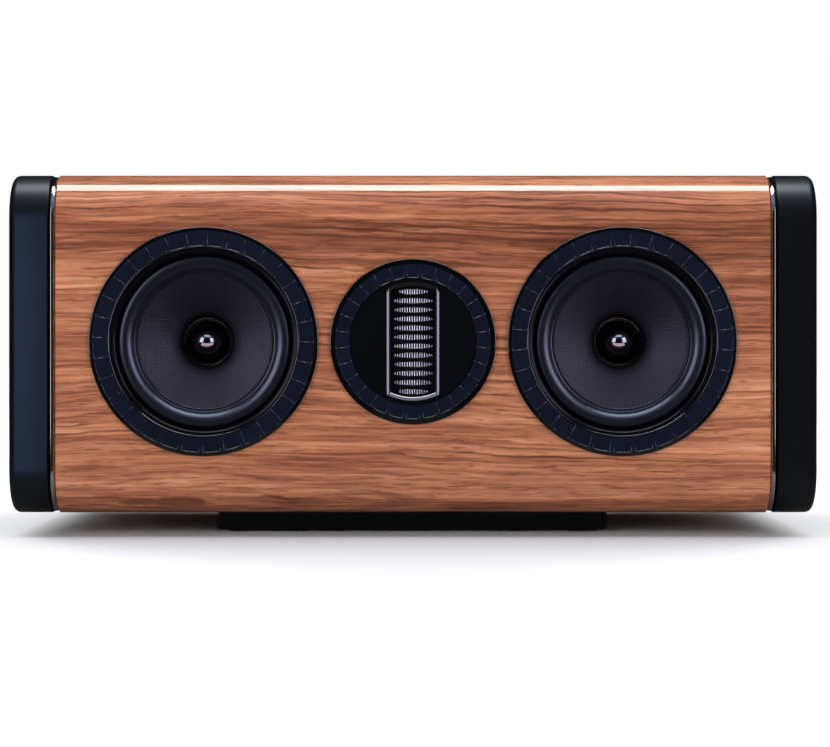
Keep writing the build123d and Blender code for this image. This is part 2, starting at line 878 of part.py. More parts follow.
def bass_gasket(x):
    """Foam seal under a bass driver's flange."""
    with BuildPart() as seal:
        with BuildSketch(front_plane(x, flange_thickness)):
            Circle(flange_radius)
            Circle(bass_cutout_radius, mode=Mode.SUBTRACT)
            with PolarLocations(bass_screw_circle, bass_screws):
                Circle(screw_radius + touch_clearance, mode=Mode.SUBTRACT)
        extrude(amount=-gasket_thickness)
    return seal.part


def lug_board(x):
    """Terminal strip with two push-on tabs, under the basket's shell."""
    lug_top = driver_z - lug_radius
    with BuildPart() as strip:
        with Locations((x, front_y + lug_depth + lug_length / 2, lug_top - lug_thickness / 2)):
            Box(lug_width, lug_length, lug_thickness)
        tab_y = front_y + lug_depth + lug_length + lug_tab_length / 2
        for side in (-1, 1):
            with Locations((x + side * lug_width / 4, tab_y, lug_top - lug_thickness / 2)):
                Box(lug_tab_width, lug_tab_length, lug_tab_thickness)
    return strip.part


def driver_screw(place):
    """Pan-head screw with a hexagon socket, head sunk in the flange."""
    with BuildPart(place) as screw:
        Cylinder(screw_radius, screw_length, align=(Align.CENTER, Align.CENTER, Align.MAX))
        Cylinder(
            screw_head_radius,
            screw_head_height,
            align=(Align.CENTER, Align.CENTER, Align.MAX),
        )
        with BuildSketch(place):
            RegularPolygon(screw_drive_radius, 6)
        extrude(amount=-screw_drive_depth, mode=Mode.SUBTRACT)
    return screw.part


def driver_screw_group():
    """Every driver's flange screws, as one group of separate solids."""
    places = []
    for x in bass_places.values():
        circle = PolarLocations(bass_screw_circle, bass_screws)
        places += [Plane(front_plane(x, 0) * spot) for spot in circle]
    circle = PolarLocations(tweeter_screw_circle, tweeter_screws, start_angle=tweeter_screw_turn)
    places += [Plane(front_plane(0, 0) * spot) for spot in circle]
    return Compound(children=[driver_screw(place) for place in places])


# Tweeter
def tweeter_trim_ring():
    """Black trim ring over the tweeter's flange, divided as the bass rings are."""
    points = ring_front(tweeter_ring_radius) + [(tweeter_ring_bore, -ring_proud), (tweeter_ring_bore, 0)]
    return ribbed_ring(0, points, tweeter_segments, 0, tweeter_segment_inner_radius)


with BuildPart() as tweeter_faceplate:
    with BuildSketch(front_plane(0, 0)):
        Circle(tweeter_flange_radius)
    extrude(amount=-tweeter_flange_thickness)
    with BuildSketch(front_plane(0, 0)):
        Circle(tweeter_boss_radius)
    extrude(amount=tweeter_boss_height)
    with BuildSketch(front_plane(0, -tweeter_boss_height)):
        Circle(window_radius)
        Rectangle(2 * window_half_width, 2 * window_radius, mode=Mode.INTERSECT)
    extrude(amount=-(tweeter_boss_height + tweeter_flange_thickness), mode=Mode.SUBTRACT)
    boss_face = tweeter_faceplate.faces().sort_by(Axis.Y)[0]
    fillet(boss_face.inner_wires()[0].edges(), window_round)
    with BuildSketch(front_plane(0, 0)):
        with PolarLocations(tweeter_screw_circle, tweeter_screws, start_angle=tweeter_screw_turn):
            Circle(screw_radius + touch_clearance)
    extrude(amount=-tweeter_flange_thickness, mode=Mode.SUBTRACT)
    with BuildSketch(front_plane(0, 0)):
        with PolarLocations(tweeter_screw_circle, tweeter_screws, start_angle=tweeter_screw_turn):
            Circle(screw_head_radius + touch_clearance)
    extrude(amount=-screw_head_height, mode=Mode.SUBTRACT)

with BuildPart() as tweeter_grille:
    with BuildSketch(front_plane(0, tweeter_flange_thickness)):
        Circle(motor_radius)
        with GridLocations(1, slot_pitch, 1, slot_rows - 2):
            Ellipse(slot_half_width, slot_half_height, mode=Mode.SUBTRACT)
        with GridLocations(1, 2 * slot_reach, 1, 2):
            Ellipse(slot_half_width - slot_end_inset, slot_half_height, mode=Mode.SUBTRACT)
    extrude(amount=-grille_thickness)


# Foil folded into square pleats, with a flat tab at each side glued behind the grille
with BuildPart() as tweeter_diaphragm:
    foil_plane = Plane(
        origin=(0, front_y + grille_back_depth + touch_clearance, driver_z - foil_half_height),
        x_dir=(1, 0, 0),
        z_dir=(0, 0, 1),
    )
    with BuildSketch(foil_plane):
        with Locations((0, pleat_depth / 2)):
            with GridLocations(pleat_pitch / 2, 1, 2 * pleat_count, 1):
                Rectangle(foil_thickness, pleat_depth)
        with Locations((0, foil_thickness / 2)):
            with GridLocations(pleat_pitch, 1, pleat_count - 1, 1):
                Rectangle(pleat_pitch / 2, foil_thickness)
            with GridLocations(pleated_width + foil_tab - pleat_pitch / 2, 1, 2, 1):
                Rectangle(foil_tab, foil_thickness)
        with Locations((0, pleat_depth - foil_thickness / 2)):
            with GridLocations(pleat_pitch, 1, pleat_count, 1):
                Rectangle(pleat_pitch / 2, foil_thickness)
    extrude(amount=2 * foil_half_height)

with BuildPart() as tweeter_magnets:
    with BuildSketch(front_plane(0, grille_back_depth)):
        with GridLocations(bar_magnet_inner + bar_magnet_outer, 1, 2, 1):
            Rectangle(bar_magnet_width, bar_magnet_height)
    extrude(amount=-bar_magnet_thickness)

with BuildPart() as tweeter_back_plate:
    with BuildSketch(front_plane(0, tweeter_plate_depth)):
        Circle(cup_inner_radius - tweeter_plate_clearance)
        with GridLocations(1, vent_pitch, 1, vent_rows):
            SlotOverall(vent_length, vent_width, mode=Mode.SUBTRACT)
    extrude(amount=-tweeter_plate_thickness)

with BuildPart() as tweeter_rear_cup:
    with BuildSketch(profile_plane(0)):
        with BuildLine():
            Polyline(
                (cup_inner_radius, grille_back_depth),
                (motor_radius, grille_back_depth),
                (motor_radius, cup_back_depth),
                (0, cup_back_depth),
                (0, cup_back_depth - cup_wall),
                (cup_inner_radius - cup_wall, cup_back_depth - cup_wall),
                (cup_inner_radius - cup_wall, tweeter_plate_back_depth),
                (cup_inner_radius, tweeter_plate_back_depth),
                close=True,
            )
        make_face()
    revolve(axis=depth_axis(0))

with BuildPart() as tweeter_gasket:
    with BuildSketch(front_plane(0, tweeter_flange_thickness)):
        Circle(tweeter_flange_radius)
        Circle(tweeter_cutout_radius, mode=Mode.SUBTRACT)
        with PolarLocations(tweeter_screw_circle, tweeter_screws, start_angle=tweeter_screw_turn):
            Circle(screw_radius + touch_clearance, mode=Mode.SUBTRACT)
    extrude(amount=-gasket_thickness)

# Rear port: a straight tube with a flared mouth and a flange on the rear panel
with BuildPart() as port_tube:
    mouth = port_radius + port_flare
    flare_start = port_flange_thickness - port_flare
    bend = port_flare * (1 - sqrt(0.5))
    with BuildSketch(profile_plane(0, port_z, rear_y)):
        with BuildLine():
            Polyline(
                (mouth, port_flange_thickness),
                (mouth + port_flange_margin, port_flange_thickness),
                (mouth + port_flange_margin, 0),
                (port_radius + port_collar, 0),
                (port_radius + port_collar, -rear_thickness),
                (port_radius + port_wall, -rear_thickness),
                (port_radius + port_wall, -port_length),
                (port_radius, -port_length),
                (port_radius, flare_start),
            )
            ThreePointArc(
                (port_radius, flare_start),
                (port_radius + bend, port_flange_thickness - bend),
                (mouth, port_flange_thickness),
            )
        make_face()
    revolve(axis=depth_axis(0, port_z))

# Loudspeaker terminals
terminal_face = back_plane(0, rear_y + terminal_plate_thickness, terminal_z)

with BuildPart() as terminal_plate:
    with BuildSketch(back_plane(0, rear_y, terminal_z)):
        RectangleRounded(terminal_width, terminal_plate_height, terminal_corner_round)
    extrude(amount=terminal_plate_thickness)
    with BuildSketch(back_plane(0, rear_y, terminal_z)):
        with GridLocations(post_spacing, 1, 2, 1):
            Circle(post_boss_radius)
    extrude(amount=terminal_plate_thickness + post_boss_height)
    with BuildSketch(back_plane(0, rear_y, terminal_z)):
        with GridLocations(post_spacing, 1, 2, 1):
            Circle(post_thread_radius + touch_clearance)
    extrude(amount=terminal_plate_thickness + post_boss_height, mode=Mode.SUBTRACT)
    with Locations(terminal_face):
        with GridLocations(*terminal_screw_grid, corner_rows, corner_rows):
            CounterSinkHole(
                wood_screw_radius + touch_clearance,
                wood_screw_head_radius + touch_clearance,
                counter_sink_angle=90,
            )


def post_stud(x):
    """Brass post: a thread through the plate, a wire hole and a socket for a 4 mm plug."""
    thread_start = -(post_thread_length + terminal_plate_thickness + post_boss_height)
    with BuildPart() as stud:
        with BuildSketch(profile_plane(x, terminal_z, post_base_y)):
            with BuildLine():
                Polyline(
                    (0, thread_start),
                    (post_thread_radius, thread_start),
                    (post_thread_radius, 0),
                    (post_radius, 0),
                    (post_radius, post_length),
                    (socket_radius, post_length),
                    (socket_radius, post_length - socket_depth),
                    (0, post_length - socket_depth),
                    close=True,
                )
            make_face()
        revolve(axis=depth_axis(x, terminal_z))
        wire_hole_y = post_base_y + wire_hole_offset
        with BuildSketch(Plane(origin=(x, wire_hole_y, terminal_z - post_radius))):
            Circle(wire_hole_radius)
        extrude(amount=2 * post_radius, mode=Mode.SUBTRACT)
    return stud.part


def post_nut(x):
    """Hexagon nut that clamps a post to the back of the plate."""
    with BuildPart() as nut:
        with BuildSketch(back_plane(x, rear_y, terminal_z)):
            RegularPolygon(nut_across_flats / 2, 6, major_radius=False)
            Circle(post_thread_radius + touch_clearance, mode=Mode.SUBTRACT)
        extrude(amount=-nut_thickness)
    return nut.part


def clamp_washer(x):
    """Loose washer that the cap presses on a bare wire."""
    bore = post_radius + cap_running_clearance
    return turned(
        x,
        [(bore, 0), (washer_radius, 0), (washer_radius, washer_thickness), (bore, washer_thickness)],
        terminal_z,
        post_base_y,
    )


def post_cap(x):
    """Fluted screw cap with a plug hole in its end."""
    bore = post_radius + cap_running_clearance
    start = washer_thickness
    end = start + cap_length
    with BuildPart() as cap:
        with BuildSketch(profile_plane(x, terminal_z, post_base_y)):
            with BuildLine():
                Polyline(
                    (bore, start),
                    (cap_radius, start),
                    (cap_radius, end),
                    (cap_end_hole_radius, end),
                    (cap_end_hole_radius, end - cap_end_thickness),
                    (bore, end - cap_end_thickness),
                    close=True,
                )
            make_face()
        revolve(axis=depth_axis(x, terminal_z))
        fillet(cap.faces().sort_by(Axis.Y)[-1].outer_wire().edges(), cap_edge_round)
        with BuildSketch(back_plane(x, post_base_y + end, terminal_z)):
            with PolarLocations(cap_radius, cap_flutes):
                Circle(cap_flute_radius)
        extrude(amount=-(cap_length - 2 * cap_end_thickness), mode=Mode.SUBTRACT)
    return cap.part


# Crossover on the cabinet floor, between the braces
with BuildPart() as crossover_board:
    board_mid = (0, (board_front_y + board_rear_y) / 2, cavity_floor_z + board_thickness / 2)
    with Locations(board_mid):
        Box(board_width, board_rear_y - board_front_y, board_thickness)

with BuildPart() as crossover_inductors:
    with BuildSketch(Plane(origin=(0, inductor_row_y, board_top_z))):
        with GridLocations(board_width / 2, 1, 2, 1):
            Circle(inductor_radius)
            Circle(inductor_bore, mode=Mode.SUBTRACT)
    extrude(amount=inductor_height)

with BuildPart() as crossover_capacitors:
    capacitor_z = board_top_z + capacitor_radius + touch_clearance
    with BuildSketch(back_plane(0, capacitor_row_y - capacitor_length / 2, capacitor_z)):
        with GridLocations(board_column, 1, capacitor_count, 1):
            Circle(capacitor_radius)
    extrude(amount=capacitor_length)

with BuildPart() as crossover_resistors:
    with Locations((0, resistor_row_y, board_top_z + resistor_side / 2)):
        with GridLocations(resistor_length + resistor_side, 1, 2, 1):
            Box(resistor_length, resistor_side, resistor_side)


def cable(*points):
    """Round cable along straight runs joined by tangent arcs."""
    with BuildPart() as lead:
        with BuildLine() as route:
            FilletPolyline(*points, radius=cable_bend)
        with BuildSketch(Plane(origin=route.line @ 0, z_dir=route.line % 0)):
            Circle(cable_radius)
        sweep(path=route.wires()[0])
    return lead.part


def cable_group():
    """Leads from the terminals to the board and from the board to each driver."""
    rest_z = board_top_z + cable_radius + touch_clearance
    stud_end_y = rear_y - post_thread_length
    drop_y = (stud_end_y + board_rear_y) / 2
    crossing_z = cavity_floor_z + brace_border + cable_bend + cable_radius
    climb_x = brace_x - brace_thickness / 2 - board_side_gap / 2
    lug_end_y = front_y + lug_depth + lug_length + lug_tab_length + fit_clearance
    cup_back_y = front_y + cup_back_depth
    rise_y = (board_front_y + cup_back_y) / 2
    cup_z = driver_z - motor_radius / 2
    leads = [
        cable(
            (0, board_front_y + board_edge, rest_z),
            (0, rise_y, rest_z),
            (0, rise_y, cup_z),
            (0, cup_back_y, cup_z),
        )
    ]
    for x in post_places.values():
        leads.append(
            cable(
                (x, stud_end_y, terminal_z),
                (x, drop_y, terminal_z),
                (x, drop_y, rest_z),
                (x, board_rear_y - board_edge / 2, rest_z),
            )
        )
    for side in ends.values():
        leads.append(
            cable(
                (side * board_column, lead_row_y, rest_z),
                (side * climb_x, lead_row_y, rest_z),
                (side * climb_x, lead_row_y, crossing_z),
                (side * bass_x, lug_end_y + cable_run, crossing_z),
                (side * bass_x, lug_end_y, driver_z - lug_radius - lug_thickness / 2),
            )
        )
    return Compound(children=leads)


with BuildPart() as damping_foam:
    foam_length = cavity_length - 2 * foam_margin
    for side in ends.values():
        foam_x = side * (end_x - end_board_thickness - foam_thickness / 2)
        with Locations((foam_x, cavity_mid_y, cabinet_mid_z)):
            Box(foam_thickness, foam_length, cavity_height - 2 * foam_margin)

os.makedirs("parts", exist_ok=True)

for name, piece in {
    "front_baffle": front_baffle,
    "top_panel": top_panel,
    "bottom_panel": bottom_panel,
    "rear_panel": rear_panel,
    "plinth": plinth,
    "plinth_feet": plinth_feet,
    "tweeter_faceplate": tweeter_faceplate,
    "tweeter_grille": tweeter_grille,
    "tweeter_diaphragm": tweeter_diaphragm,
    "tweeter_magnets": tweeter_magnets,
    "tweeter_back_plate": tweeter_back_plate,
    "tweeter_rear_cup": tweeter_rear_cup,
    "port_tube": port_tube,
    "terminal_plate": terminal_plate,
    "crossover_board": crossover_board,
    "crossover_inductors": crossover_inductors,
    "crossover_capacitors": crossover_capacitors,
    "crossover_resistors": crossover_resistors,
    "damping_foam": damping_foam,
}.items():
    save(piece.part, name)

for name, side in ends.items():
    save(end_board(side), f"{name}_end_board")
    save(brace(side), f"{name}_brace")
    save(cheek(side), f"{name}_cheek")
    save(trim_band(side), f"{name}_trim_band")

for name, x in bass_places.items():
    save(bass_trim_ring(x, ring_turns[name]), f"{name}_trim_ring")
    save(basket(x), f"{name}_basket")
    save(surround(x), f"{name}_surround")
    save(cone(x), f"{name}_cone")
    save(voice_coil(x), f"{name}_voice_coil")
    save(spider(x), f"{name}_spider")
    save(phase_plug(x), f"{name}_phase_plug")
    save(top_plate(x), f"{name}_top_plate")
    save(magnet(x), f"{name}_magnet")
    save(pole_yoke(x), f"{name}_pole_yoke")

for name, x in post_places.items():
    save(clamp_washer(x), f"{name}_clamp_washer")
    save(post_cap(x), f"{name}_post_cap")

seals = [bass_gasket(x) for x in bass_places.values()] + [tweeter_gasket.part]
save(Compound(children=seals), "driver_gaskets")
save(driver_screw_group(), "driver_screws")
save(Compound(children=[lug_board(x) for x in bass_places.values()]), "driver_lug_boards")
save(tweeter_trim_ring(), "tweeter_trim_ring")
save(Compound(children=[post_stud(x) for x in post_places.values()]), "post_studs")
save(Compound(children=[post_nut(x) for x in post_places.values()]), "post_nuts")
save(screw_group(terminal_face, terminal_screw_grid, terminal_screw_length), "terminal_screws")
save(screw_group(plinth_underside, plinth_screw_grid, plinth_screw_length), "plinth_screws")
save(cable_group(), "internal_cables")
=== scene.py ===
import math
import bmesh
import bpy
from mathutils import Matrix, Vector


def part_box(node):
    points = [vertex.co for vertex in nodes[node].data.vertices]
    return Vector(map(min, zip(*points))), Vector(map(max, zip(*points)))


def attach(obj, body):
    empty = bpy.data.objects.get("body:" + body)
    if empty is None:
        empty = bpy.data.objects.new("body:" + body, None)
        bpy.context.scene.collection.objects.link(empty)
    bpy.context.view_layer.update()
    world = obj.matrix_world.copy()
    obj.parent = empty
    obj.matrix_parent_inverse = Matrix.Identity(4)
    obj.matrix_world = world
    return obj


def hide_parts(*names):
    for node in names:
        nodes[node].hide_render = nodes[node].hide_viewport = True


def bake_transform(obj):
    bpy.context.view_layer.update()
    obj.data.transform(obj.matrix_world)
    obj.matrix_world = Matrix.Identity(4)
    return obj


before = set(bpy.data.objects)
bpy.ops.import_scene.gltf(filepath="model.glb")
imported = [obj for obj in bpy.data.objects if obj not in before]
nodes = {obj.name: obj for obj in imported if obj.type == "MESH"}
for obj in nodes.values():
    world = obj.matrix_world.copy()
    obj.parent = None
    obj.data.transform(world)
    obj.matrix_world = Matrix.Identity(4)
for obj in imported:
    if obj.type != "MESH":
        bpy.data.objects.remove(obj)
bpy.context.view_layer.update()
scene = bpy.context.scene
scene.view_settings.view_transform = "Standard"
mm = 0.001
print("frame loaded:", len(nodes), "nodes")


# places taken from the frame
def middleOf(node):
    low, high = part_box(node)
    return (low + high) / 2


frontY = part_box("front_baffle")[0].y
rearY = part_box("rear_panel")[1].y
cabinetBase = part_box("front_baffle")[0].z
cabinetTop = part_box("front_baffle")[1].z
sides = ("left", "right")
bassCentres = {side: middleOf(f"{side}_trim_ring") for side in sides}
tweeterCentre = middleOf("tweeter_trim_ring")
portCentre = middleOf("port_tube")
postCentres = {colour: middleOf(f"{colour}_post_cap") for colour in ("red", "black")}


# shader helpers
def addNode(tree, kind, inputs=None, **settings):
    node = tree.nodes.new(kind)
    for key, value in settings.items():
        setattr(node, key, value)
    for key, value in (inputs or {}).items():
        if isinstance(value, bpy.types.NodeSocket):
            tree.links.new(value, node.inputs[key])
        else:
            node.inputs[key].default_value = value
    return node


def calc(tree, operation, *values):
    return addNode(tree, "ShaderNodeMath", dict(enumerate(values)), operation=operation).outputs[0]


def remap(tree, value, fromLow, fromHigh, toLow=0.0, toHigh=1.0, smooth=False):
    kind = "SMOOTHSTEP" if smooth else "LINEAR"
    inputs = {"Value": value, "From Min": fromLow, "From Max": fromHigh, "To Min": toLow, "To Max": toHigh}
    return addNode(tree, "ShaderNodeMapRange", inputs, interpolation_type=kind).outputs["Result"]


def mixColour(tree, factor, first, second, blend="MIX"):
    node = addNode(tree, "ShaderNodeMix", data_type="RGBA", blend_type=blend)
    for slot, value in ((0, factor), (6, first), (7, second)):
        if isinstance(value, bpy.types.NodeSocket):
            tree.links.new(value, node.inputs[slot])
        else:
            node.inputs[slot].default_value = value
    return node.outputs[2]


def noise(tree, vector, scale, detail=2.0, roughness=0.5):
    inputs = {"Vector": vector, "Scale": scale, "Detail": detail, "Roughness": roughness}
    return addNode(tree, "ShaderNodeTexNoise", inputs).outputs["Fac"]


def objectPlace(tree):
    return addNode(tree, "ShaderNodeTexCoord").outputs["Object"]


def newGroup(name, inputs, outputs):
    group = bpy.data.node_groups.new(name, "ShaderNodeTree")
    for label, value in inputs.items():
        kind = "NodeSocketColor" if isinstance(value, tuple) else "NodeSocketFloat"
        group.interface.new_socket(name=label, in_out="INPUT", socket_type=kind).default_value = value
    for label, kind in outputs.items():
        group.interface.new_socket(name=label, in_out="OUTPUT", socket_type=kind)
    source = group.nodes.new("NodeGroupInput")
    target = group.nodes.new("NodeGroupOutput")
    return group, source.outputs, target.inputs


def placeGroup(tree, group, inputs):
    node = addNode(tree, "ShaderNodeGroup", node_tree=group)
    for key, value in inputs.items():
        node.inputs[key].default_value = value
    return node.outputs


socketNames = {
    "roughness": "Roughness", "metallic": "Metallic", "coat": "Coat Weight", "coatRoughness": "Coat Roughness",
    "specular": "Specular IOR Level", "tint": "Specular Tint",
}


def newMaterial(name, **shader):
    material = bpy.data.materials.new(name)
    material.use_nodes = True
    tree = material.node_tree
    surface = tree.nodes["Principled BSDF"]
    for key, value in shader.items():
        surface.inputs[socketNames[key]].default_value = value
    return material, tree, surface


bumpDepth = 0.0002


def addBump(tree, surface, height, strength):
    bump = addNode(tree, "ShaderNodeBump", {"Height": height, "Strength": strength, "Distance": bumpDepth})
    tree.links.new(bump.outputs["Normal"], surface.inputs["Normal"])


# fine grain of a moulded, painted or cast surface: a roughness that wanders and a little height
def makeFineGrain():
    group, given, result = newGroup(
        "fineGrain",
        {"Scale": 900.0, "Low": 0.3, "High": 0.4},
        {"Roughness": "NodeSocketFloat", "Height": "NodeSocketFloat"},
    )
    place = objectPlace(group)
    speck = noise(group, place, given["Scale"], 3.0, 0.6)
    cloud = noise(group, place, 14.0, 2.0)
    blend = calc(group, "ADD", calc(group, "MULTIPLY", speck, 0.6), calc(group, "MULTIPLY", cloud, 0.4))
    group.links.new(remap(group, blend, 0.3, 0.7, given["Low"], given["High"]), result["Roughness"])
    group.links.new(speck, result["Height"])
    return group


# slow drift between two colours
def makeMottle():
    group, given, result = newGroup(
        "mottle",
        {"Light": (0.5, 0.5, 0.5, 1.0), "Dark": (0.4, 0.4, 0.4, 1.0), "Scale": 60.0},
        {"Colour": "NodeSocketColor"},
    )
    drift = remap(group, noise(group, objectPlace(group), given["Scale"], 4.0, 0.6), 0.3, 0.7)
    group.links.new(mixColour(group, drift, given["Dark"], given["Light"]), result["Colour"])
    return group


# plain weave of warp and weft threads, laid across the x and z directions; HollowShade is painted shade, darker in the
# hollows between threads
def makeThreadWeave():
    group, given, result = newGroup(
        "threadWeave",
        {"Pitch": 0.0014, "Wander": 0.25},
        {"Height": "NodeSocketFloat", "Warp": "NodeSocketFloat", "HollowShade": "NodeSocketFloat"},
    )
    place = objectPlace(group)
    axes = addNode(group, "ShaderNodeSeparateXYZ", {0: place}).outputs
    sway = calc(group, "MULTIPLY", calc(group, "SUBTRACT", noise(group, place, 160.0, 1.0), 0.5), given["Wander"])
    turns = []
    for axis in ("X", "Z"):
        count = calc(group, "ADD", calc(group, "DIVIDE", axes[axis], given["Pitch"]), sway)
        turns.append(calc(group, "MULTIPLY", count, math.pi))
    over = calc(group, "MULTIPLY", calc(group, "SINE", turns[0]), calc(group, "SINE", turns[1]))
    warpRidge = calc(group, "ABSOLUTE", calc(group, "SINE", turns[0]))
    weftRidge = calc(group, "ABSOLUTE", calc(group, "SINE", turns[1]))
    onTop = remap(group, over, -0.25, 0.25, smooth=True)
    ridge = addNode(group, "ShaderNodeMix", {0: onTop, 2: weftRidge, 3: warpRidge}, data_type="FLOAT").outputs[0]
    group.links.new(ridge, result["Height"])
    group.links.new(onTop, result["Warp"])
    group.links.new(remap(group, ridge, 0.2, 1.0, 0.35, 1.0), result["HollowShade"])
    return group


# drawn or turned lines on metal: fine noise pulled out along x
def makeDrawnLines():
    group, given, result = newGroup(
        "drawnLines",
        {"Scale": 40.0, "Low": 0.1, "High": 0.2},
        {"Roughness": "NodeSocketFloat", "Height": "NodeSocketFloat"},
    )
    pulled = addNode(group, "ShaderNodeMapping", {0: objectPlace(group), "Scale": (1.0, 30.0, 30.0)}).outputs[0]
    line = noise(group, pulled, given["Scale"], 3.0, 0.6)
    group.links.new(remap(group, line, 0.3, 0.7, given["Low"], given["High"]), result["Roughness"])
    group.links.new(line, result["Height"])
    return group


fineGrain = makeFineGrain()
mottle = makeMottle()
threadWeave = makeThreadWeave()
drawnLines = makeDrawnLines()

# moulded, painted, cast and soft finishes: two colours, their drift, roughness range and grain height
plainFinishes = {
    "fibreboard": dict(light=(0.44, 0.31, 0.19), dark=(0.33, 0.22, 0.12), drift=300, rough=(0.7, 0.9), bump=0.3),
    "cheek_black": dict(light=(0.0040, 0.0040, 0.0042), dark=(0.0031, 0.0031, 0.0033), drift=9, rough=(0.36, 0.44),
                        grain=1500, bump=0.02, specular=0.34, tint=(0.68, 0.82, 1.0)),
    "plinth_black": dict(light=(0.0024, 0.0024, 0.0027), dark=(0.0016, 0.0016, 0.0018), drift=20, rough=(0.34, 0.42),
                         grain=1200, bump=0.04, specular=0.5),
    "foot_rubber": dict(light=(0.024, 0.024, 0.024), dark=(0.014, 0.014, 0.014), drift=200, rough=(0.7, 0.9), bump=0.2),
    "ring_black": dict(light=(0.0050, 0.0070, 0.0165), dark=(0.0038, 0.0055, 0.0130), drift=30, rough=(0.2, 0.26),
                       grain=1400, bump=0.02, specular=0.32),
    "basket_grey": dict(light=(0.05, 0.05, 0.055), dark=(0.035, 0.035, 0.04), drift=120, rough=(0.5, 0.65), bump=0.2),
    "surround_rubber": dict(light=(0.0042, 0.0050, 0.0080), dark=(0.0030, 0.0037, 0.0060), drift=40, rough=(0.28, 0.36),
                            grain=1600, bump=0.03, specular=0.55, tint=(0.80, 0.85, 1.0)),
    "plug_black": dict(light=(0.150, 0.148, 0.158), dark=(0.125, 0.123, 0.132), drift=30, rough=(0.05, 0.08),
                       grain=700, bump=0.003, metallic=1.0),
    "ferrite": dict(light=(0.055, 0.055, 0.058), dark=(0.035, 0.035, 0.037), drift=250, rough=(0.7, 0.85), bump=0.3),
    "gasket_foam": dict(light=(0.025, 0.025, 0.025), dark=(0.012, 0.012, 0.012), drift=900, rough=(0.85, 0.95),
                        bump=0.5),
    "lug_board": dict(light=(0.12, 0.085, 0.05), dark=(0.08, 0.055, 0.03), drift=300, rough=(0.4, 0.55), bump=0.1),
    "faceplate_black": dict(light=(0.0021, 0.0026, 0.0042), dark=(0.0016, 0.0020, 0.0032), drift=25, rough=(0.18, 0.24),
                            grain=1500, bump=0.02, specular=0.4),
    "grille_black": dict(light=(0.0020, 0.0021, 0.0026), dark=(0.0013, 0.0014, 0.0018), drift=60, rough=(0.4, 0.5),
                         bump=0.06, specular=0.3),
    "cup_plastic": dict(light=(0.024, 0.024, 0.024), dark=(0.016, 0.016, 0.016), drift=80, rough=(0.45, 0.6), bump=0.1),
    "capacitor_film": dict(light=(0.5, 0.06, 0.035), dark=(0.38, 0.035, 0.02), drift=60, rough=(0.25, 0.35), bump=0.03),
    "resistor_cement": dict(light=(0.78, 0.76, 0.71), dark=(0.66, 0.64, 0.58), drift=400, rough=(0.8, 0.95), bump=0.4),
    "cable_sheath": dict(light=(0.035, 0.035, 0.035), dark=(0.022, 0.022, 0.022), drift=100, rough=(0.4, 0.55),
                         bump=0.05),
    "terminal_black": dict(light=(0.016, 0.016, 0.017), dark=(0.011, 0.011, 0.012), drift=70, rough=(0.45, 0.6),
                           grain=1300, bump=0.25),
    "cap_red": dict(light=(0.36, 0.010, 0.012), dark=(0.26, 0.006, 0.008), drift=90, rough=(0.18, 0.26), bump=0.02),
    "cap_black": dict(light=(0.013, 0.013, 0.014), dark=(0.009, 0.009, 0.010), drift=90, rough=(0.18, 0.26), bump=0.02),
    "port_plastic": dict(light=(0.013, 0.013, 0.014), dark=(0.009, 0.009, 0.010), drift=60, rough=(0.4, 0.52),
                         grain=1300, bump=0.15),
    "damping_foam": dict(light=(0.085, 0.085, 0.09), dark=(0.04, 0.04, 0.045), drift=500, rough=(0.9, 1.0), bump=0.8),
    "bright_band": dict(light=(0.83, 0.83, 0.86), dark=(0.76, 0.76, 0.80), drift=60, rough=(0.06, 0.09), bump=0.004,
                        metallic=1.0),
    "silver_foil": dict(light=(0.66, 0.66, 0.69), dark=(0.56, 0.56, 0.59), drift=150, rough=(0.18, 0.26), bump=0.02,
                        metallic=1.0),
    # ribbon_film: the dark on the ribbon's fold walls and back folds, painted shade in the folds
    "ribbon_film": dict(light=(0.0060, 0.0058, 0.0066), dark=(0.0040, 0.0038, 0.0044), drift=150, rough=(0.5, 0.6),
                        bump=0.02, specular=0.2),
    "gloss_black": dict(light=(0.0018, 0.0020, 0.0028), dark=(0.0012, 0.0014, 0.0020), drift=30, rough=(0.06, 0.1),
                        grain=900, bump=0.004, specular=0.75),
}


def makePlainFinish(name, light, dark, drift, rough, bump, grain=900.0, specular=0.5, tint=(1.0, 1.0, 1.0),
                    metallic=0.0):
    material, tree, surface = newMaterial(name, specular=specular, tint=(*tint, 1.0), metallic=metallic)
    colour = placeGroup(tree, mottle, {"Light": (*light, 1.0), "Dark": (*dark, 1.0), "Scale": drift})
    grainOut = placeGroup(tree, fineGrain, {"Scale": grain, "Low": rough[0], "High": rough[1]})
    tree.links.new(colour["Colour"], surface.inputs["Base Color"])
    tree.links.new(grainOut["Roughness"], surface.inputs["Roughness"])
    addBump(tree, surface, grainOut["Height"], bump)
    return material


# bright metals: two colours, the roughness between their drawn lines and the lines' height
metalFinishes = {
    "motor_steel": dict(light=(0.55, 0.55, 0.54), dark=(0.42, 0.42, 0.40), rough=(0.3, 0.45), bump=0.05),
    "screw_steel": dict(light=(0.09, 0.09, 0.095), dark=(0.06, 0.06, 0.065), rough=(0.3, 0.42), bump=0.04),
    "former_metal": dict(light=(0.34, 0.34, 0.36), dark=(0.26, 0.26, 0.28), rough=(0.12, 0.2), bump=0.02),
    "post_brass": dict(light=(0.86, 0.65, 0.30), dark=(0.74, 0.53, 0.22), rough=(0.14, 0.24), bump=0.02),
    "coil_copper": dict(light=(0.74, 0.36, 0.20), dark=(0.58, 0.25, 0.13), rough=(0.25, 0.4), bump=0.2),
}
metalGrain = dict(drift=120.0, lines=60.0)


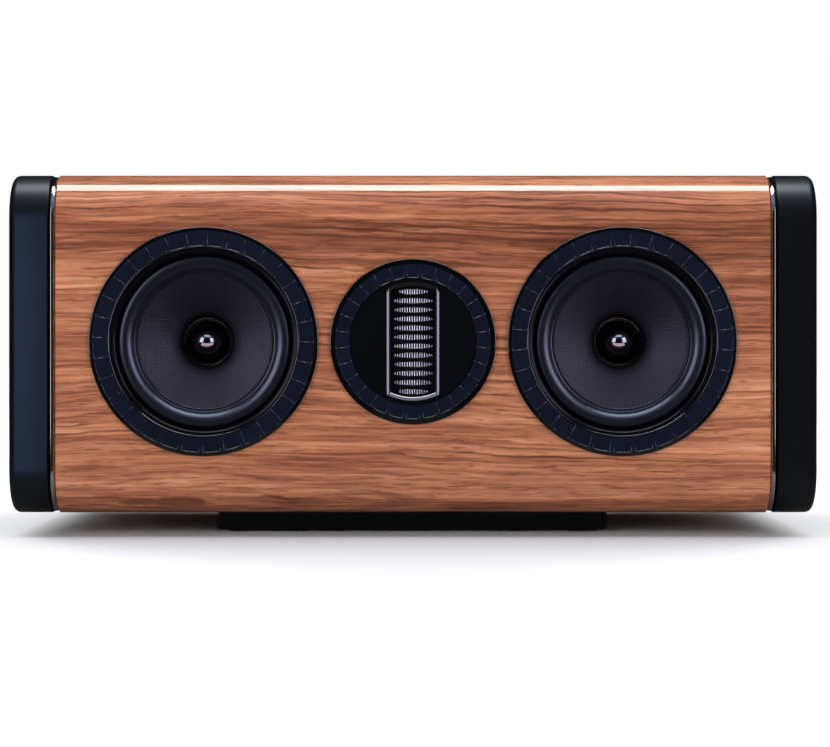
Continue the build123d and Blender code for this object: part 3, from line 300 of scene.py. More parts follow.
def makeMetalFinish(name, light, dark, rough, bump):
    material, tree, surface = newMaterial(name, metallic=1.0)
    colour = placeGroup(tree, mottle, {"Light": (*light, 1.0), "Dark": (*dark, 1.0), "Scale": metalGrain["drift"]})
    lines = placeGroup(tree, drawnLines, {"Scale": metalGrain["lines"], "Low": rough[0], "High": rough[1]})
    tree.links.new(colour["Colour"], surface.inputs["Base Color"])
    tree.links.new(lines["Roughness"], surface.inputs["Roughness"])
    addBump(tree, surface, lines["Height"], bump)
    return material


# figured walnut under gloss lacquer, grain along x, one flitch over every panel
walnut = dict(
    tones=((0.0, (0.105, 0.029, 0.014)), (0.28, (0.210, 0.067, 0.034)), (0.52, (0.350, 0.124, 0.063)),
           (0.76, (0.490, 0.196, 0.100)), (1.0, (0.620, 0.290, 0.165))),
    pore=(0.070, 0.019, 0.009), fine=1.25, middle=0.95, broad=1.25, broadStart=16.4, lineDepth=0.7,
    lineSpacing=0.0056, lineWander=0.03, poreDepth=0.5, sway=0.022, tremble=0.0024,
    fineScale=(16.0, 520.0), middleScale=(4.4, 190.0), broadScale=(1.6, 40.0), poreScale=(50.0, 700.0),
    patchScale=(2.8, 60.0), swayScale=(2.2, 6.0), trembleScale=(34.0, 60.0), wanderScale=(1.6, 14.0),
    patchRange=(-0.09, 0.13), lineRange=(0.35, 1.0), poreRange=(0.08, 0.15), fineRange=(-0.2, 0.2), rough=(0.5, 0.62),
    coatRough=0.025, specular=0.15,
)


def makeWalnut():
    w = walnut
    material, tree, surface = newMaterial(
        "walnut_veneer", coat=1.0, coatRoughness=w["coatRough"], specular=w["specular"])
    place = objectPlace(tree)

    def pulledNoise(source, along, across, detail, roughness=0.55, start=0.0):
        pulled = addNode(tree, "ShaderNodeMapping", {
            0: source, "Location": (start, start, start), "Scale": (along, across, across)}).outputs[0]
        return calc(tree, "SUBTRACT", noise(tree, pulled, 1.0, detail, roughness), 0.5)

    sway = calc(tree, "MULTIPLY", pulledNoise(place, *w["swayScale"], 2.0), w["sway"])
    tremble = calc(tree, "MULTIPLY", pulledNoise(place, *w["trembleScale"], 2.0), w["tremble"])
    shift = calc(tree, "ADD", sway, tremble)
    axes = addNode(tree, "ShaderNodeSeparateXYZ", {0: place}).outputs
    bent = addNode(tree, "ShaderNodeCombineXYZ", {
        "X": axes["X"], "Y": calc(tree, "ADD", axes["Y"], shift), "Z": calc(tree, "ADD", axes["Z"], shift)}).outputs[0]
    fine = pulledNoise(bent, *w["fineScale"], 4.0, 0.62)
    middle = pulledNoise(bent, *w["middleScale"], 3.0)
    broad = pulledNoise(bent, *w["broadScale"], 3.0, start=w["broadStart"])
    tone = 0.5
    for part, share in ((fine, w["fine"]), (middle, w["middle"]), (broad, w["broad"])):
        tone = calc(tree, "ADD", calc(tree, "MULTIPLY", part, share), tone)
    ramp = addNode(tree, "ShaderNodeValToRGB", {"Fac": tone})
    stops = ramp.color_ramp.elements
    while len(stops) < len(w["tones"]):
        stops.new(0.5)
    for stop, (position, colour) in zip(stops, w["tones"]):
        stop.position, stop.color = position, (*colour, 1.0)
    bentAxes = addNode(tree, "ShaderNodeSeparateXYZ", {0: bent}).outputs
    wander = calc(tree, "MULTIPLY", pulledNoise(place, *w["wanderScale"], 2.0), w["lineWander"])
    across = calc(tree, "ADD", calc(tree, "ADD", bentAxes["Y"], bentAxes["Z"]), wander)
    growth = calc(tree, "SINE", calc(tree, "MULTIPLY", across, 2 * math.pi / w["lineSpacing"]))
    patch = remap(tree, pulledNoise(bent, *w["patchScale"], 2.0), *w["patchRange"])
    line = calc(tree, "MULTIPLY", remap(tree, growth, *w["lineRange"], smooth=True), patch)
    base = mixColour(tree, calc(tree, "MULTIPLY", line, w["lineDepth"]), ramp.outputs["Color"], (*w["pore"], 1.0))
    pore = remap(tree, pulledNoise(bent, *w["poreScale"], 2.0), *w["poreRange"])
    colour = mixColour(tree, calc(tree, "MULTIPLY", pore, w["poreDepth"]), base, (*w["pore"], 1.0))
    tree.links.new(colour, surface.inputs["Base Color"])
    tree.links.new(remap(tree, fine, *w["fineRange"], *w["rough"]), surface.inputs["Roughness"])
    return material


# woven cone: dark purple-grey threads with a satin coat
coneCloth = dict(
    warp=(0.0052, 0.0044, 0.0082), weft=(0.0034, 0.0029, 0.0054), pitch=0.00145, rough=(0.46, 0.62), bump=0.8,
    specular=0.4, tint=(0.88, 0.78, 1.0),
)
# spider: coarse tan cloth
spiderCloth = dict(
    warp=(0.45, 0.28, 0.10), weft=(0.36, 0.21, 0.07), pitch=0.0009, rough=(0.6, 0.8), bump=0.6,
)
hollowShadeShare = 0.85


def makeCloth(name, warp, weft, pitch, rough, bump, specular=0.5, tint=(1.0, 1.0, 1.0)):
    material, tree, surface = newMaterial(name, specular=specular, tint=(*tint, 1.0))
    cloth = placeGroup(tree, threadWeave, {"Pitch": pitch})
    colour = mixColour(tree, cloth["Warp"], (*weft, 1.0), (*warp, 1.0))
    # painted shade: the thread colour is darkened in the hollows of the weave
    shade = addNode(tree, "ShaderNodeCombineXYZ", {axis: cloth["HollowShade"] for axis in "XYZ"}).outputs[0]
    colour = mixColour(tree, hollowShadeShare, colour, shade, "MULTIPLY")
    tree.links.new(colour, surface.inputs["Base Color"])
    tree.links.new(remap(tree, cloth["Height"], 0.0, 1.0, rough[1], rough[0]), surface.inputs["Roughness"])
    addBump(tree, surface, cloth["Height"], bump)
    return material


finishes = {name: makePlainFinish(name, **values) for name, values in plainFinishes.items()}
finishes |= {name: makeMetalFinish(name, **values) for name, values in metalFinishes.items()}
finishes["walnut_veneer"] = makeWalnut()
finishes["cone_weave"] = makeCloth("cone_weave", **coneCloth)
finishes["spider_cloth"] = makeCloth("spider_cloth", **spiderCloth)
print("finishes made:", len(finishes))


# smooth shading for the CAD pieces: join the split corners, keep edges sharper than the angle
def makeSmoothByAngle(angle):
    tree = bpy.data.node_groups.new("smoothByAngle", "GeometryNodeTree")
    tree.interface.new_socket(name="Geometry", in_out="INPUT", socket_type="NodeSocketGeometry")
    tree.interface.new_socket(name="Geometry", in_out="OUTPUT", socket_type="NodeSocketGeometry")
    source, target = tree.nodes.new("NodeGroupInput"), tree.nodes.new("NodeGroupOutput")
    turn = tree.nodes.new("GeometryNodeInputMeshEdgeAngle")
    gentle = addNode(tree, "FunctionNodeCompare", {0: turn.outputs[0], 1: angle}, operation="LESS_THAN")
    faces = addNode(tree, "GeometryNodeSetShadeSmooth", {"Geometry": source.outputs[0]}, domain="FACE")
    edges = addNode(tree, "GeometryNodeSetShadeSmooth", {
        "Geometry": faces.outputs[0], "Shade Smooth": gentle.outputs[0]}, domain="EDGE")
    tree.links.new(edges.outputs[0], target.inputs[0])
    return tree


cadShading = dict(angle=32, weld=0.000002, weight=90)
smoothByAngle = makeSmoothByAngle(math.radians(cadShading["angle"]))


def dressNode(obj):
    slotName = obj.active_material.name.split(".")[0]
    obj.data.materials.clear()
    obj.data.materials.append(finishes[slotName])
    weld = obj.modifiers.new("joinCorners", "WELD")
    weld.merge_threshold = cadShading["weld"]
    smooth = obj.modifiers.new("smoothByAngle", "NODES")
    smooth.node_group = smoothByAngle
    flat = obj.modifiers.new("flatFaces", "WEIGHTED_NORMAL")
    flat.weight = cadShading["weight"]
    flat.keep_sharp = True


for obj in nodes.values():
    dressNode(obj)
print("CAD pieces dressed")


# mesh helpers; profiles are (radius, depth) in millimetres
weldDistance = 0.000001


def makePiece(name, points, faces, finishNames, body="cabinet", stands=(), picks=None, angle=32):
    mesh = bpy.data.meshes.new(name)
    mesh.from_pydata(points, [], faces)
    for finishName in finishNames:
        mesh.materials.append(finishes[finishName])
    if picks:
        mesh.polygons.foreach_set("material_index", picks)
    build = bmesh.new()
    build.from_mesh(mesh)
    bmesh.ops.remove_doubles(build, verts=build.verts, dist=weldDistance)
    bmesh.ops.recalc_face_normals(build, faces=build.faces)
    build.to_mesh(mesh)
    build.free()
    mesh.shade_smooth()
    mesh.set_sharp_from_angle(angle=math.radians(angle))
    obj = bpy.data.objects.new(name, mesh)
    scene.collection.objects.link(obj)
    if body:
        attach(obj, body)
    if stands:
        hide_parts(*stands)
    return obj


def arc(centre, radius, start, end, steps):
    turns = [math.radians(start + (end - start) * step / steps) for step in range(steps + 1)]
    return [(centre[0] + radius * math.cos(a), centre[1] + radius * math.sin(a)) for a in turns]


def arcThrough(first, middle, last, steps):
    (ax, ay), (bx, by), (cx, cy) = first, middle, last
    d = 2 * (ax * (by - cy) + bx * (cy - ay) + cx * (ay - by))
    sa, sb, sc = ax * ax + ay * ay, bx * bx + by * by, cx * cx + cy * cy
    centre = ((sa * (by - cy) + sb * (cy - ay) + sc * (ay - by)) / d,
              (sa * (cx - bx) + sb * (ax - cx) + sc * (bx - ax)) / d)
    start = math.degrees(math.atan2(ay - centre[1], ax - centre[0]))
    end = math.degrees(math.atan2(cy - centre[1], cx - centre[0]))
    turn = (end - start + 180) % 360 - 180
    return arc(centre, math.hypot(ax - centre[0], ay - centre[1]), start, start + turn, steps)


def bezier(points, steps):
    curve = []
    for step in range(steps + 1):
        t = step / steps
        weights = ((1 - t) ** 3, 3 * t * (1 - t) ** 2, 3 * t * t * (1 - t), t ** 3)
        curve.append(tuple(sum(w * p[k] for w, p in zip(weights, points)) for k in (0, 1)))
    return curve


def around(centre, radius, angle, y):
    return (centre.x + radius * mm * math.sin(angle), y, centre.z + radius * mm * math.cos(angle))


def turned(profile, centre, baseY, segments):
    points, faces = [], []
    count = len(profile)
    for step in range(segments):
        angle = 2 * math.pi * step / segments
        points += [around(centre, radius, angle, baseY + depth * mm) for radius, depth in profile]
    for step in range(segments):
        here, there = step * count, (step + 1) % segments * count
        for k in range(count):
            n = (k + 1) % count
            faces.append((here + k, here + n, there + n, there + k))
    return points, faces


def skin(loops, closed=False, caps=False):
    # joins rows of points, each row a closed loop of the same length
    points = [point for loop in loops for point in loop]
    count, rows = len(loops[0]), len(loops)
    faces = []
    for row in range(rows if closed else rows - 1):
        here, there = row * count, (row + 1) % rows * count
        for k in range(count):
            n = (k + 1) % count
            faces.append((here + k, here + n, there + n, there + k))
    if caps:
        faces.append(tuple(range(count)))
        faces.append(tuple(range((rows - 1) * count, rows * count)))
    return points, faces


# trim rings: bevelled rim, a face of shallow pockets between radial ribs, and on the bass rings a funnel
bassRing = dict(
    outer=75.0, bevelTop=72.6, pocketOuter=72.4, pocketInner=62.6, bead=62.0, beadRound=0.42, beadSteps=8,
    throat=61.3, throatDepth=-2.3, view=56.0, viewDepth=7.2, back=61.7, wall=2.2,
    ribs=32, turns={"left": -4.4, "right": 0.0},
)
tweeterRing = dict(outer=54.2, bevelTop=50.8, pocketOuter=50.6, pocketInner=41.8, bore=41.6, ribs=28)
ringFace = dict(proud=-3.0, recess=0.24, ribWidth=2.2, slope=0.26, pocketColumns=6, edgeDrop=0.25, edgeRound=0.45,
                edgeSteps=6, lip=0.15, lipDrop=0.03)


def ribColumns(ribs, turn):
    # (angle of the rib's middle, sideways place in mm, share of the pocket's depth) round the whole ring
    half, slope = ringFace["ribWidth"] / 2, ringFace["slope"]
    columns = []
    for rib in range(ribs):
        here = math.radians(turn + (rib + 0.5) * 360 / ribs)
        step = 2 * math.pi / ribs
        columns += [(here, -half - slope, 1.0), (here, -half, 0.0), (here, half, 0.0), (here, half + slope, 1.0)]
        spare = ringFace["pocketColumns"]
        for k in range(1, spare):
            columns.append((here, (step * k / spare, half + slope), 1.0))
    return columns, step


def segmentedRing(name, centre, rows, ribs, turn, stands):
    # rows are (radius, depth, in the pocket?, gloss?)
    columns, step = ribColumns(ribs, turn)
    loops = []
    for radius, depth, pocket, gloss in rows:
        loop = []
        for angle, place, share in columns:
            if isinstance(place, tuple):
                edge = math.asin(place[1] / radius)
                turnBy = edge + place[0] / step * (step - 2 * edge)
            else:
                turnBy = math.asin(place / radius)
            sunk = depth + (ringFace["recess"] * share if pocket else 0.0)
            loop.append(around(centre, radius, angle + turnBy, frontY + sunk * mm))
        loops.append(loop)
    points, faces = skin(loops, closed=True)
    picks = [int(row[3]) for row in rows for _ in columns]
    return makePiece(name, points, faces, ["ring_black", "gloss_black"], stands=stands, picks=picks, angle=30)


def ringRim(values):
    # a shallow polished slope out to a rounded edge, then the pocketed face
    proud, slope, bend = ringFace["proud"], ringFace["slope"], ringFace["edgeRound"]
    outer, top = values["outer"], values["bevelTop"]
    tilt = math.degrees(math.atan2(ringFace["edgeDrop"], outer - bend - top))
    edge = arc((outer - bend, proud + ringFace["edgeDrop"] + bend), bend, 0, -90 + tilt, ringFace["edgeSteps"])
    rim = [(outer, 0.0, False, True)]
    rim += [(radius, depth, False, True) for radius, depth in edge]
    rim += [(top + ringFace["lip"], proud + ringFace["lipDrop"], False, True), (top, proud, False, False)]
    rim += [(values["pocketOuter"], proud, False, False), (values["pocketOuter"] - slope, proud, True, False)]
    rim += [((values["pocketOuter"] + values["pocketInner"]) / 2, proud, True, False)]
    rim += [(values["pocketInner"] + slope, proud, True, False), (values["pocketInner"], proud, False, False)]
    return rim


def bassRingRows():
    b = bassRing
    bead = arc((b["bead"], ringFace["proud"] + b["beadRound"]), b["beadRound"], 0, -180, b["beadSteps"])
    funnel = [(b["throat"], b["throatDepth"]), (b["view"], b["viewDepth"]), (b["view"] + b["wall"], b["viewDepth"]),
              (b["back"], 0.0)]
    return ringRim(b) + [(radius, depth, False, True) for radius, depth in bead + funnel]


for side, centre in bassCentres.items():
    segmentedRing(f"{side}TrimRing", centre, bassRingRows(), bassRing["ribs"], bassRing["turns"][side],
                  [f"{side}_trim_ring"])
rows = ringRim(tweeterRing) + [(tweeterRing["bore"], depth, False, False) for depth in (ringFace["proud"], 0.0)]
segmentedRing("tweeterTrimRing", tweeterCentre, rows, tweeterRing["ribs"], 0.0, ["tweeter_trim_ring"])
print("trim rings made")

# bass surrounds: a rubber half roll in two halves
surround = dict(
    rollCentre=(52.6, 10.2), rollRadius=6.5, wall=0.9, tuck=-62.5, lipDepth=7.6, lipThickness=1.0, outer=60.0,
    neckFront=(55.78, 4.75), neckBack=(55.15, 5.6), neckOuter=55.8, neckInner=55.1, outerSteps=12,
    innerLip=44.2, lipEase=0.3, lipStart=45.5, lipBend=45.95, bendRise=0.05, rimDepth=10.4,
    innerEnd=-171, innerBoreEnd=-178, innerSteps=24,
)


def surroundHalves():
    s = surround
    centre, radius, bore = s["rollCentre"], s["rollRadius"], s["rollRadius"] - s["wall"]
    lipBack, lipFront = s["lipDepth"] + s["lipThickness"], s["rimDepth"] - s["lipThickness"]
    outerHalf = arc(centre, radius, -90, s["tuck"], s["outerSteps"]) + [
        s["neckFront"], (s["neckOuter"], s["lipDepth"]), (s["outer"], s["lipDepth"]), (s["outer"], lipBack),
        (s["neckInner"], lipBack), s["neckBack"]] + arc(centre, bore, s["tuck"], -90, s["outerSteps"])
    innerHalf = arc(centre, radius, -90, s["innerEnd"], s["innerSteps"]) + [
        (s["lipBend"], lipFront - s["bendRise"]), (s["lipStart"], lipFront), (s["innerLip"] + s["lipEase"], lipFront),
        (s["innerLip"], lipFront + s["lipEase"]), (s["innerLip"], s["rimDepth"]),
        (centre[0] - bore, s["rimDepth"])] + arc(centre, bore, s["innerBoreEnd"], -90, s["innerSteps"])
    return outerHalf, innerHalf


# woven cone, flared from its glue rim down to the coil former; inside the neck-shade radius it is black, painted shade
# round the plug
cone = dict(rim=47.2, edge=44.0, rimDepth=10.4, flare=(34.2, 15.7), shoulder=(24.5, 22.2), bend=(18.4, 29.4),
            neck=16.0, neckDepth=38.5, collar=1.8, wall=0.6, neckShade=18.6, flareSteps=22, neckSteps=20)


def coneProfile():
    c = cone
    front = arcThrough((c["edge"], c["rimDepth"]), c["flare"], c["shoulder"], c["flareSteps"])
    front += arcThrough(c["shoulder"], c["bend"], (c["neck"], c["neckDepth"]), c["neckSteps"])[1:]
    rear = [(radius + c["wall"], depth + c["wall"]) for radius, depth in reversed(front)]
    collarEnd = c["neckDepth"] + c["collar"]
    return [(c["rim"], c["rimDepth"])] + front + [
        (c["neck"], collarEnd), (c["neck"] + c["wall"], collarEnd)] + rear + [(c["rim"], c["rimDepth"] + c["wall"])]


# bullet-shaped phase plug on its stem
plug = dict(tip=21.0, base=52.0, radius=14.4, nose=0.6, fullness=0.55, stem=4.0, stemEnd=64.0, steps=48)


def plugProfile():
    p = plug
    length = p["base"] - p["tip"]
    nose = bezier([(0.0, p["tip"]), (p["nose"] * p["radius"], p["tip"]),
                   (p["radius"], p["base"] - p["fullness"] * length), (p["radius"], p["base"])], p["steps"])
    return nose + [(p["stem"], p["base"]), (p["stem"], p["stemEnd"]), (0.0, p["stemEnd"])]


# voice coil: a thin bright former with copper wound on its rear end
coil = dict(inner=15.5, wall=0.4, front=37.0, edgeSteps=6, winding=1.1, windingStart=49.0, windingEnd=61.0, tail=61.5)


def coilProfile():
    c = coil
    outer = c["inner"] + c["wall"]
    edge = arc((c["inner"] + c["wall"] / 2, c["front"] + c["wall"] / 2), c["wall"] / 2, 180, 360, c["edgeSteps"])
    wound = [(outer, c["windingStart"]), (outer + c["winding"], c["windingStart"]),
             (outer + c["winding"], c["windingEnd"]), (outer, c["windingEnd"])]
    copper = range(len(edge), len(edge) + len(wound) - 1)
    return edge + wound + [(outer, c["tail"]), (c["inner"], c["tail"])], copper


# corrugated spider: its lip on the basket, its neck on the coil
spider = dict(outer=40.7, lip=35.5, inner=15.95, depth=40.4, wall=0.6, waves=5, waveHeight=0.7, rise=3.1, steps=60,
              held=0.9, loose=2.7)


def spiderProfile():
    s = spider
    front = [(s["outer"], s["depth"])]
    for step in range(s["steps"] + 1):
        share = step / s["steps"]
        wave = s["waveHeight"] * math.sin(2 * math.pi * s["waves"] * share) * math.sin(math.pi * share)
        front.append((s["lip"] + (s["inner"] - s["lip"]) * share, s["depth"] + s["rise"] * share + wave))
    return front + [(radius, depth + s["wall"]) for radius, depth in reversed(front)]


turnSteps = dict(surround=180, cone=180, spider=120, coil=144, plug=144)
for side, centre in bassCentres.items():
    outerHalf, innerHalf = surroundHalves()
    points, faces = turned(outerHalf, centre, frontY, turnSteps["surround"])
    makePiece(f"{side}SurroundOuter", points, faces, ["surround_rubber"],
              stands=[f"{side}_surround"])
    points, faces = turned(innerHalf, centre, frontY, turnSteps["surround"])
    roll = makePiece(f"{side}SurroundInner", points, faces, ["surround_rubber"], body=None)
    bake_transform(roll)
    profile = coneProfile()
    points, faces = turned(profile, centre, frontY, turnSteps["cone"])
    # faces inside the neck-shade radius take black: painted shade round the plug, not a finish of the cone
    picks = [int(profile[k % len(profile)][0] < cone["neckShade"]) for k in range(len(faces))]
    makePiece(f"{side}WovenCone", points, faces, ["cone_weave", "grille_black"],
              body=f"{side}_diaphragm", stands=[f"{side}_cone"], picks=picks, angle=40)
    points, faces = turned(spiderProfile(), centre, frontY, turnSteps["spider"])
    disc = makePiece(f"{side}Spider", points, faces, ["spider_cloth"], body=None,
                     stands=[f"{side}_spider"], angle=50)
    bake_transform(disc)
    profile, copper = coilProfile()
    points, faces = turned(profile, centre, frontY, turnSteps["coil"])
    picks = [int(k % len(profile) in copper) for k in range(len(faces))]
    makePiece(f"{side}VoiceCoil", points, faces, ["former_metal", "coil_copper"],
              body=f"{side}_diaphragm", stands=[f"{side}_voice_coil"], picks=picks, angle=40)
    points, faces = turned(plugProfile(), centre, frontY, turnSteps["plug"])
    makePiece(f"{side}BulletPlug", points, faces, ["plug_black"], stands=[f"{side}_phase_plug"])
print("bass drivers made")

# tweeter faceplate: a round boss with a tall window, its edge rolled over and polished
faceplate = dict(boss=41.4, bossDepth=-2.2, bossEase=0.3, flange=50.5, flangeBack=4.0, halfWidth=14.4, reach=36.2,
                 roll=3.2, rollDrop=2.1, rollPower=1.6, rollSteps=8, windowWall=0.5, landing=0.2,
                 sideSteps=24, arcSteps=40)


def windowLoop(offset, depth):
    f = faceplate
    halfWidth, reach = f["halfWidth"] + offset, f["reach"] + offset
    corner = math.sqrt(reach ** 2 - halfWidth ** 2)
    swing = math.asin(halfWidth / reach)
    loop = []
    for sign in (1, -1):
        for step in range(f["sideSteps"]):
            loop.append((sign * halfWidth, sign * corner * (1 - 2 * step / f["sideSteps"])))
        for step in range(f["arcSteps"]):
            a = swing * (1 - 2 * step / f["arcSteps"])
            loop.append((sign * reach * math.sin(a), -sign * reach * math.cos(a)))
    return [(tweeterCentre.x + x * mm, frontY + depth * mm, tweeterCentre.z + z * mm) for x, z in loop]


def roundLoop(radius, depth):
    turns = [math.atan2(x - tweeterCentre.x, z - tweeterCentre.z) for x, _, z in windowLoop(0.0, 0.0)]
    return [around(tweeterCentre, radius, turn, frontY + depth * mm) for turn in turns]


def faceLoops():
    f = faceplate
    boss = f["bossDepth"]
    polished = [windowLoop(0.0, f["flangeBack"]), windowLoop(0.0, boss + f["rollDrop"] + f["windowWall"])]
    for step in range(f["rollSteps"] + 1):
        share = step / f["rollSteps"]
        polished.append(windowLoop(f["roll"] * share, boss + f["rollDrop"] * (1 - share) ** f["rollPower"]))
    plain = [windowLoop(f["roll"] + f["landing"], boss), roundLoop(f["boss"] - f["bossEase"], boss)]
    plain += [roundLoop(f["boss"], boss + f["bossEase"]), roundLoop(f["boss"], 0.0)]
    plain += [roundLoop(f["flange"], 0.0), roundLoop(f["flange"], f["flangeBack"])]
    return polished, plain


polished, plain = faceLoops()
points, faces = skin(polished + plain, closed=True)
picks = [1 for loop in polished for _ in loop] + [0 for loop in plain for _ in loop]
makePiece("tweeterFace", points, faces, ["faceplate_black", "gloss_black"],
          stands=["tweeter_faceplate"], picks=picks, angle=30)

# pleated ribbon: foil folded to and fro behind the grille, every fold a half round
ribbon = dict(pleats=17, width=27.6, front=6.62, back=10.0, wall=0.1, crest=0.2, halfHeight=36.0, steps=10, tab=3.6)


def ribbonWave():
    r = ribbon
    pitch = r["width"] / r["pleats"]
    crestRadius = pitch * r["crest"]
    foldRadius = pitch / 2 - crestRadius
    wave = [(-r["width"] / 2 - r["tab"], r["back"])]
    foilCrests = set()
    for pleat in range(r["pleats"]):
        x = -r["width"] / 2 + pitch * pleat
        foilCrests.update(range(len(wave), len(wave) + r["steps"]))
        wave += arc((x + pitch / 2 - foldRadius, r["front"] + crestRadius), crestRadius, 180, 360, r["steps"])
        wave += arc((x + pitch - foldRadius, r["back"] - foldRadius), foldRadius, 180, 0, r["steps"])
    wave.append((r["width"] / 2 + r["tab"], r["back"]))
    return wave, foilCrests


wave, foilCrests = ribbonWave()
outline = wave + [(x, depth + ribbon["wall"]) for x, depth in reversed(wave)]
loops = []
for sign in (-1, 1):
    endZ = tweeterCentre.z + sign * ribbon["halfHeight"] * mm
    loops.append([(tweeterCentre.x + x * mm, frontY + depth * mm, endZ) for x, depth in outline])
points, faces = skin(loops)
count = len(wave)
for end in (0, len(outline)):
    for k in range(count - 1):
        faces.append((end + k, end + k + 1, end + 2 * count - 2 - k, end + 2 * count - 1 - k))
# the crests take bright foil; the fold walls and back folds take the dark film, painted shade in the folds
picks = [int(k not in foilCrests) for k in range(len(faces))]
makePiece("pleatedRibbon", points, faces, ["silver_foil", "ribbon_film"], stands=["tweeter_diaphragm"],
          picks=picks, angle=60)
print("tweeter made")

# end cheeks and bright bands: the cabinet's rounded outline carried across x
outlineShape = dict(frontRound=30.0, rearRound=20.0, cornerSteps=24)
cheek = dict(inset=0.1, innerRound=0.8, outerRound=5.0, spigot=5.0, spigotInset=6.1, steps=8)
band = dict(inset=1.0, depth=5.0, steps=10)


def outlineLoop(x, inset):
    o = outlineShape
    low, high = frontY + inset * mm, rearY - inset * mm
    floor, top = cabinetBase + inset * mm, cabinetTop - inset * mm
    front, rear = (o["frontRound"] - inset) * mm, (o["rearRound"] - inset) * mm
    corners = ((low + front, floor + front, front, 180), (high - rear, floor + rear, rear, 270),
               (high - rear, top - rear, rear, 0), (low + front, top - front, front, 90))
    loop = []
    for y, z, radius, start in corners:
        loop += [(x, cy, cz) for cy, cz in arc((y, z), radius, start, start + 90, o["cornerSteps"])]
    return loop


for side, sign in (("left", -1), ("right", 1)):
    low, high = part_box(f"{side}_cheek")
    outer, inner = (low.x, high.x) if sign < 0 else (high.x, low.x)
    c = cheek
    shoulder = inner + sign * c["spigot"] * mm
    rows = [(inner, c["spigotInset"]), (shoulder, c["spigotInset"])]
    for step in range(c["steps"] + 1):
        a = math.pi / 2 * step / c["steps"]
        rows.append((shoulder + sign * c["innerRound"] * (1 - math.cos(a)) * mm,
                     c["inset"] + c["innerRound"] * (1 - math.sin(a))))
    for step in range(c["steps"] + 1):
        a = math.pi / 2 * step / c["steps"]
        rows.append((outer - sign * c["outerRound"] * (1 - math.sin(a)) * mm,
                     c["inset"] + c["outerRound"] * (1 - math.cos(a))))
    points, faces = skin([outlineLoop(x, inset) for x, inset in rows], caps=True)
    makePiece(f"{side}Cheek", points, faces, ["cheek_black"], stands=[f"{side}_cheek"], angle=30)
    low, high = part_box(f"{side}_trim_band")
    half = (high.x - low.x) / 2
    rows = []
    for step in range(band["steps"] + 1):
        a = math.pi * step / band["steps"]
        rows.append(((low.x + high.x) / 2 - half * math.cos(a), band["inset"] + half / mm * (1 - math.sin(a))))
    rows += [(high.x, band["inset"] + band["depth"]), (low.x, band["inset"] + band["depth"])]
    points, faces = skin([outlineLoop(x, inset) for x, inset in rows], closed=True)
    makePiece(f"{side}BrightBand", points, faces, ["bright_band"],
              stands=[f"{side}_trim_band"], angle=30)
print("cheeks and bands made")

# rear port with its flared mouth
port = dict(radius=26.0, flare=12.0, flareSteps=16, flangeProud=3.0, flange=41.0, rim=1.2, rimEase=0.35, collar=33.8,
            panel=18.0, wall=2.5, length=110.0, turnSteps=144)


def portProfile():
    p = port
    proud, tube = p["flangeProud"], p["radius"] + p["wall"]
    return arc((p["radius"] + p["flare"], proud - p["flare"]), p["flare"], 180, 90, p["flareSteps"]) + [
        (p["flange"] - p["rim"], proud), (p["flange"] - p["rimEase"], proud - p["rimEase"]),
        (p["flange"], proud - p["rim"]), (p["flange"], 0.0), (p["collar"], 0.0), (p["collar"], -p["panel"]),
        (tube, -p["panel"]), (tube, -p["length"]), (p["radius"], -p["length"])]


points, faces = turned(portProfile(), portCentre, rearY, port["turnSteps"])
makePiece("rearPort", points, faces, ["port_plastic"], stands=["port_tube"])

# clamp washers under the terminal caps, their rims eased
washer = dict(bore=4.1, radius=7.5, ease=0.28, easeSteps=5, thickness=1.45, turnSteps=72)


def washerProfile():
    w = washer
    rim = w["radius"] - w["ease"]
    lower = arc((rim, w["ease"]), w["ease"], -90, 0, w["easeSteps"])
    upper = arc((rim, w["thickness"] - w["ease"]), w["ease"], 0, 90, w["easeSteps"])
    return [(w["bore"], 0.0)] + lower + upper + [(w["bore"], w["thickness"])]


for colour, centre in postCentres.items():
    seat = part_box(f"{colour}_clamp_washer")[0].y
    points, faces = turned(washerProfile(), centre, seat, washer["turnSteps"])
    makePiece(f"{colour}ClampWasher", points, faces, ["post_brass"],
              body=f"{colour}_washer", stands=[f"{colour}_clamp_washer"])
print("rear made")

# stage: floor, lights and camera
stageLook = dict(
    floorColour=0.86, floorHalf=14.0, nearFloor=0.16, farFloor=0.01, nearReach=(0.62, 0.52), nearFade=(0.4, 1.1),
    room=(0.010, 0.010, 0.011), ceiling=(0.15, 0.21, 0.36), ceilingRise=(0.3, 0.8), ceilingFront=(0.05, -0.25),
)


# the floor is pale; in reflections it shows a painted pool of light near the cabinet that fades to dark away from it
def makeFloor():
    mesh = bpy.data.meshes.new("studioFloor")
    half = stageLook["floorHalf"]
    mesh.from_pydata([(-half, -half, 0), (half, -half, 0), (half, half, 0), (-half, half, 0)], [], [(0, 1, 2, 3)])
    floor = bpy.data.objects.new("studioFloor", mesh)
    scene.collection.objects.link(floor)
    material, tree, surface = newMaterial("studioFloor", roughness=0.9, specular=0.0)
    axes = addNode(tree, "ShaderNodeSeparateXYZ", {0: objectPlace(tree)}).outputs
    away = calc(tree, "ADD", *(calc(tree, "POWER", calc(tree, "DIVIDE", axes[axis], reach), 2.0)
                               for axis, reach in zip("XY", stageLook["nearReach"])))
    mirrored = addNode(tree, "ShaderNodeLightPath").outputs["Is Glossy Ray"]
    lit, near, far = ((*(stageLook[key],) * 3, 1.0) for key in ("floorColour", "nearFloor", "farFloor"))
    # painted pool of light on the floor, seen only in reflections
    reflected = mixColour(tree, remap(tree, away, *stageLook["nearFade"], smooth=True), near, far)
    tree.links.new(mixColour(tree, mirrored, lit, reflected), surface.inputs["Base Color"])
    mesh.materials.append(material)


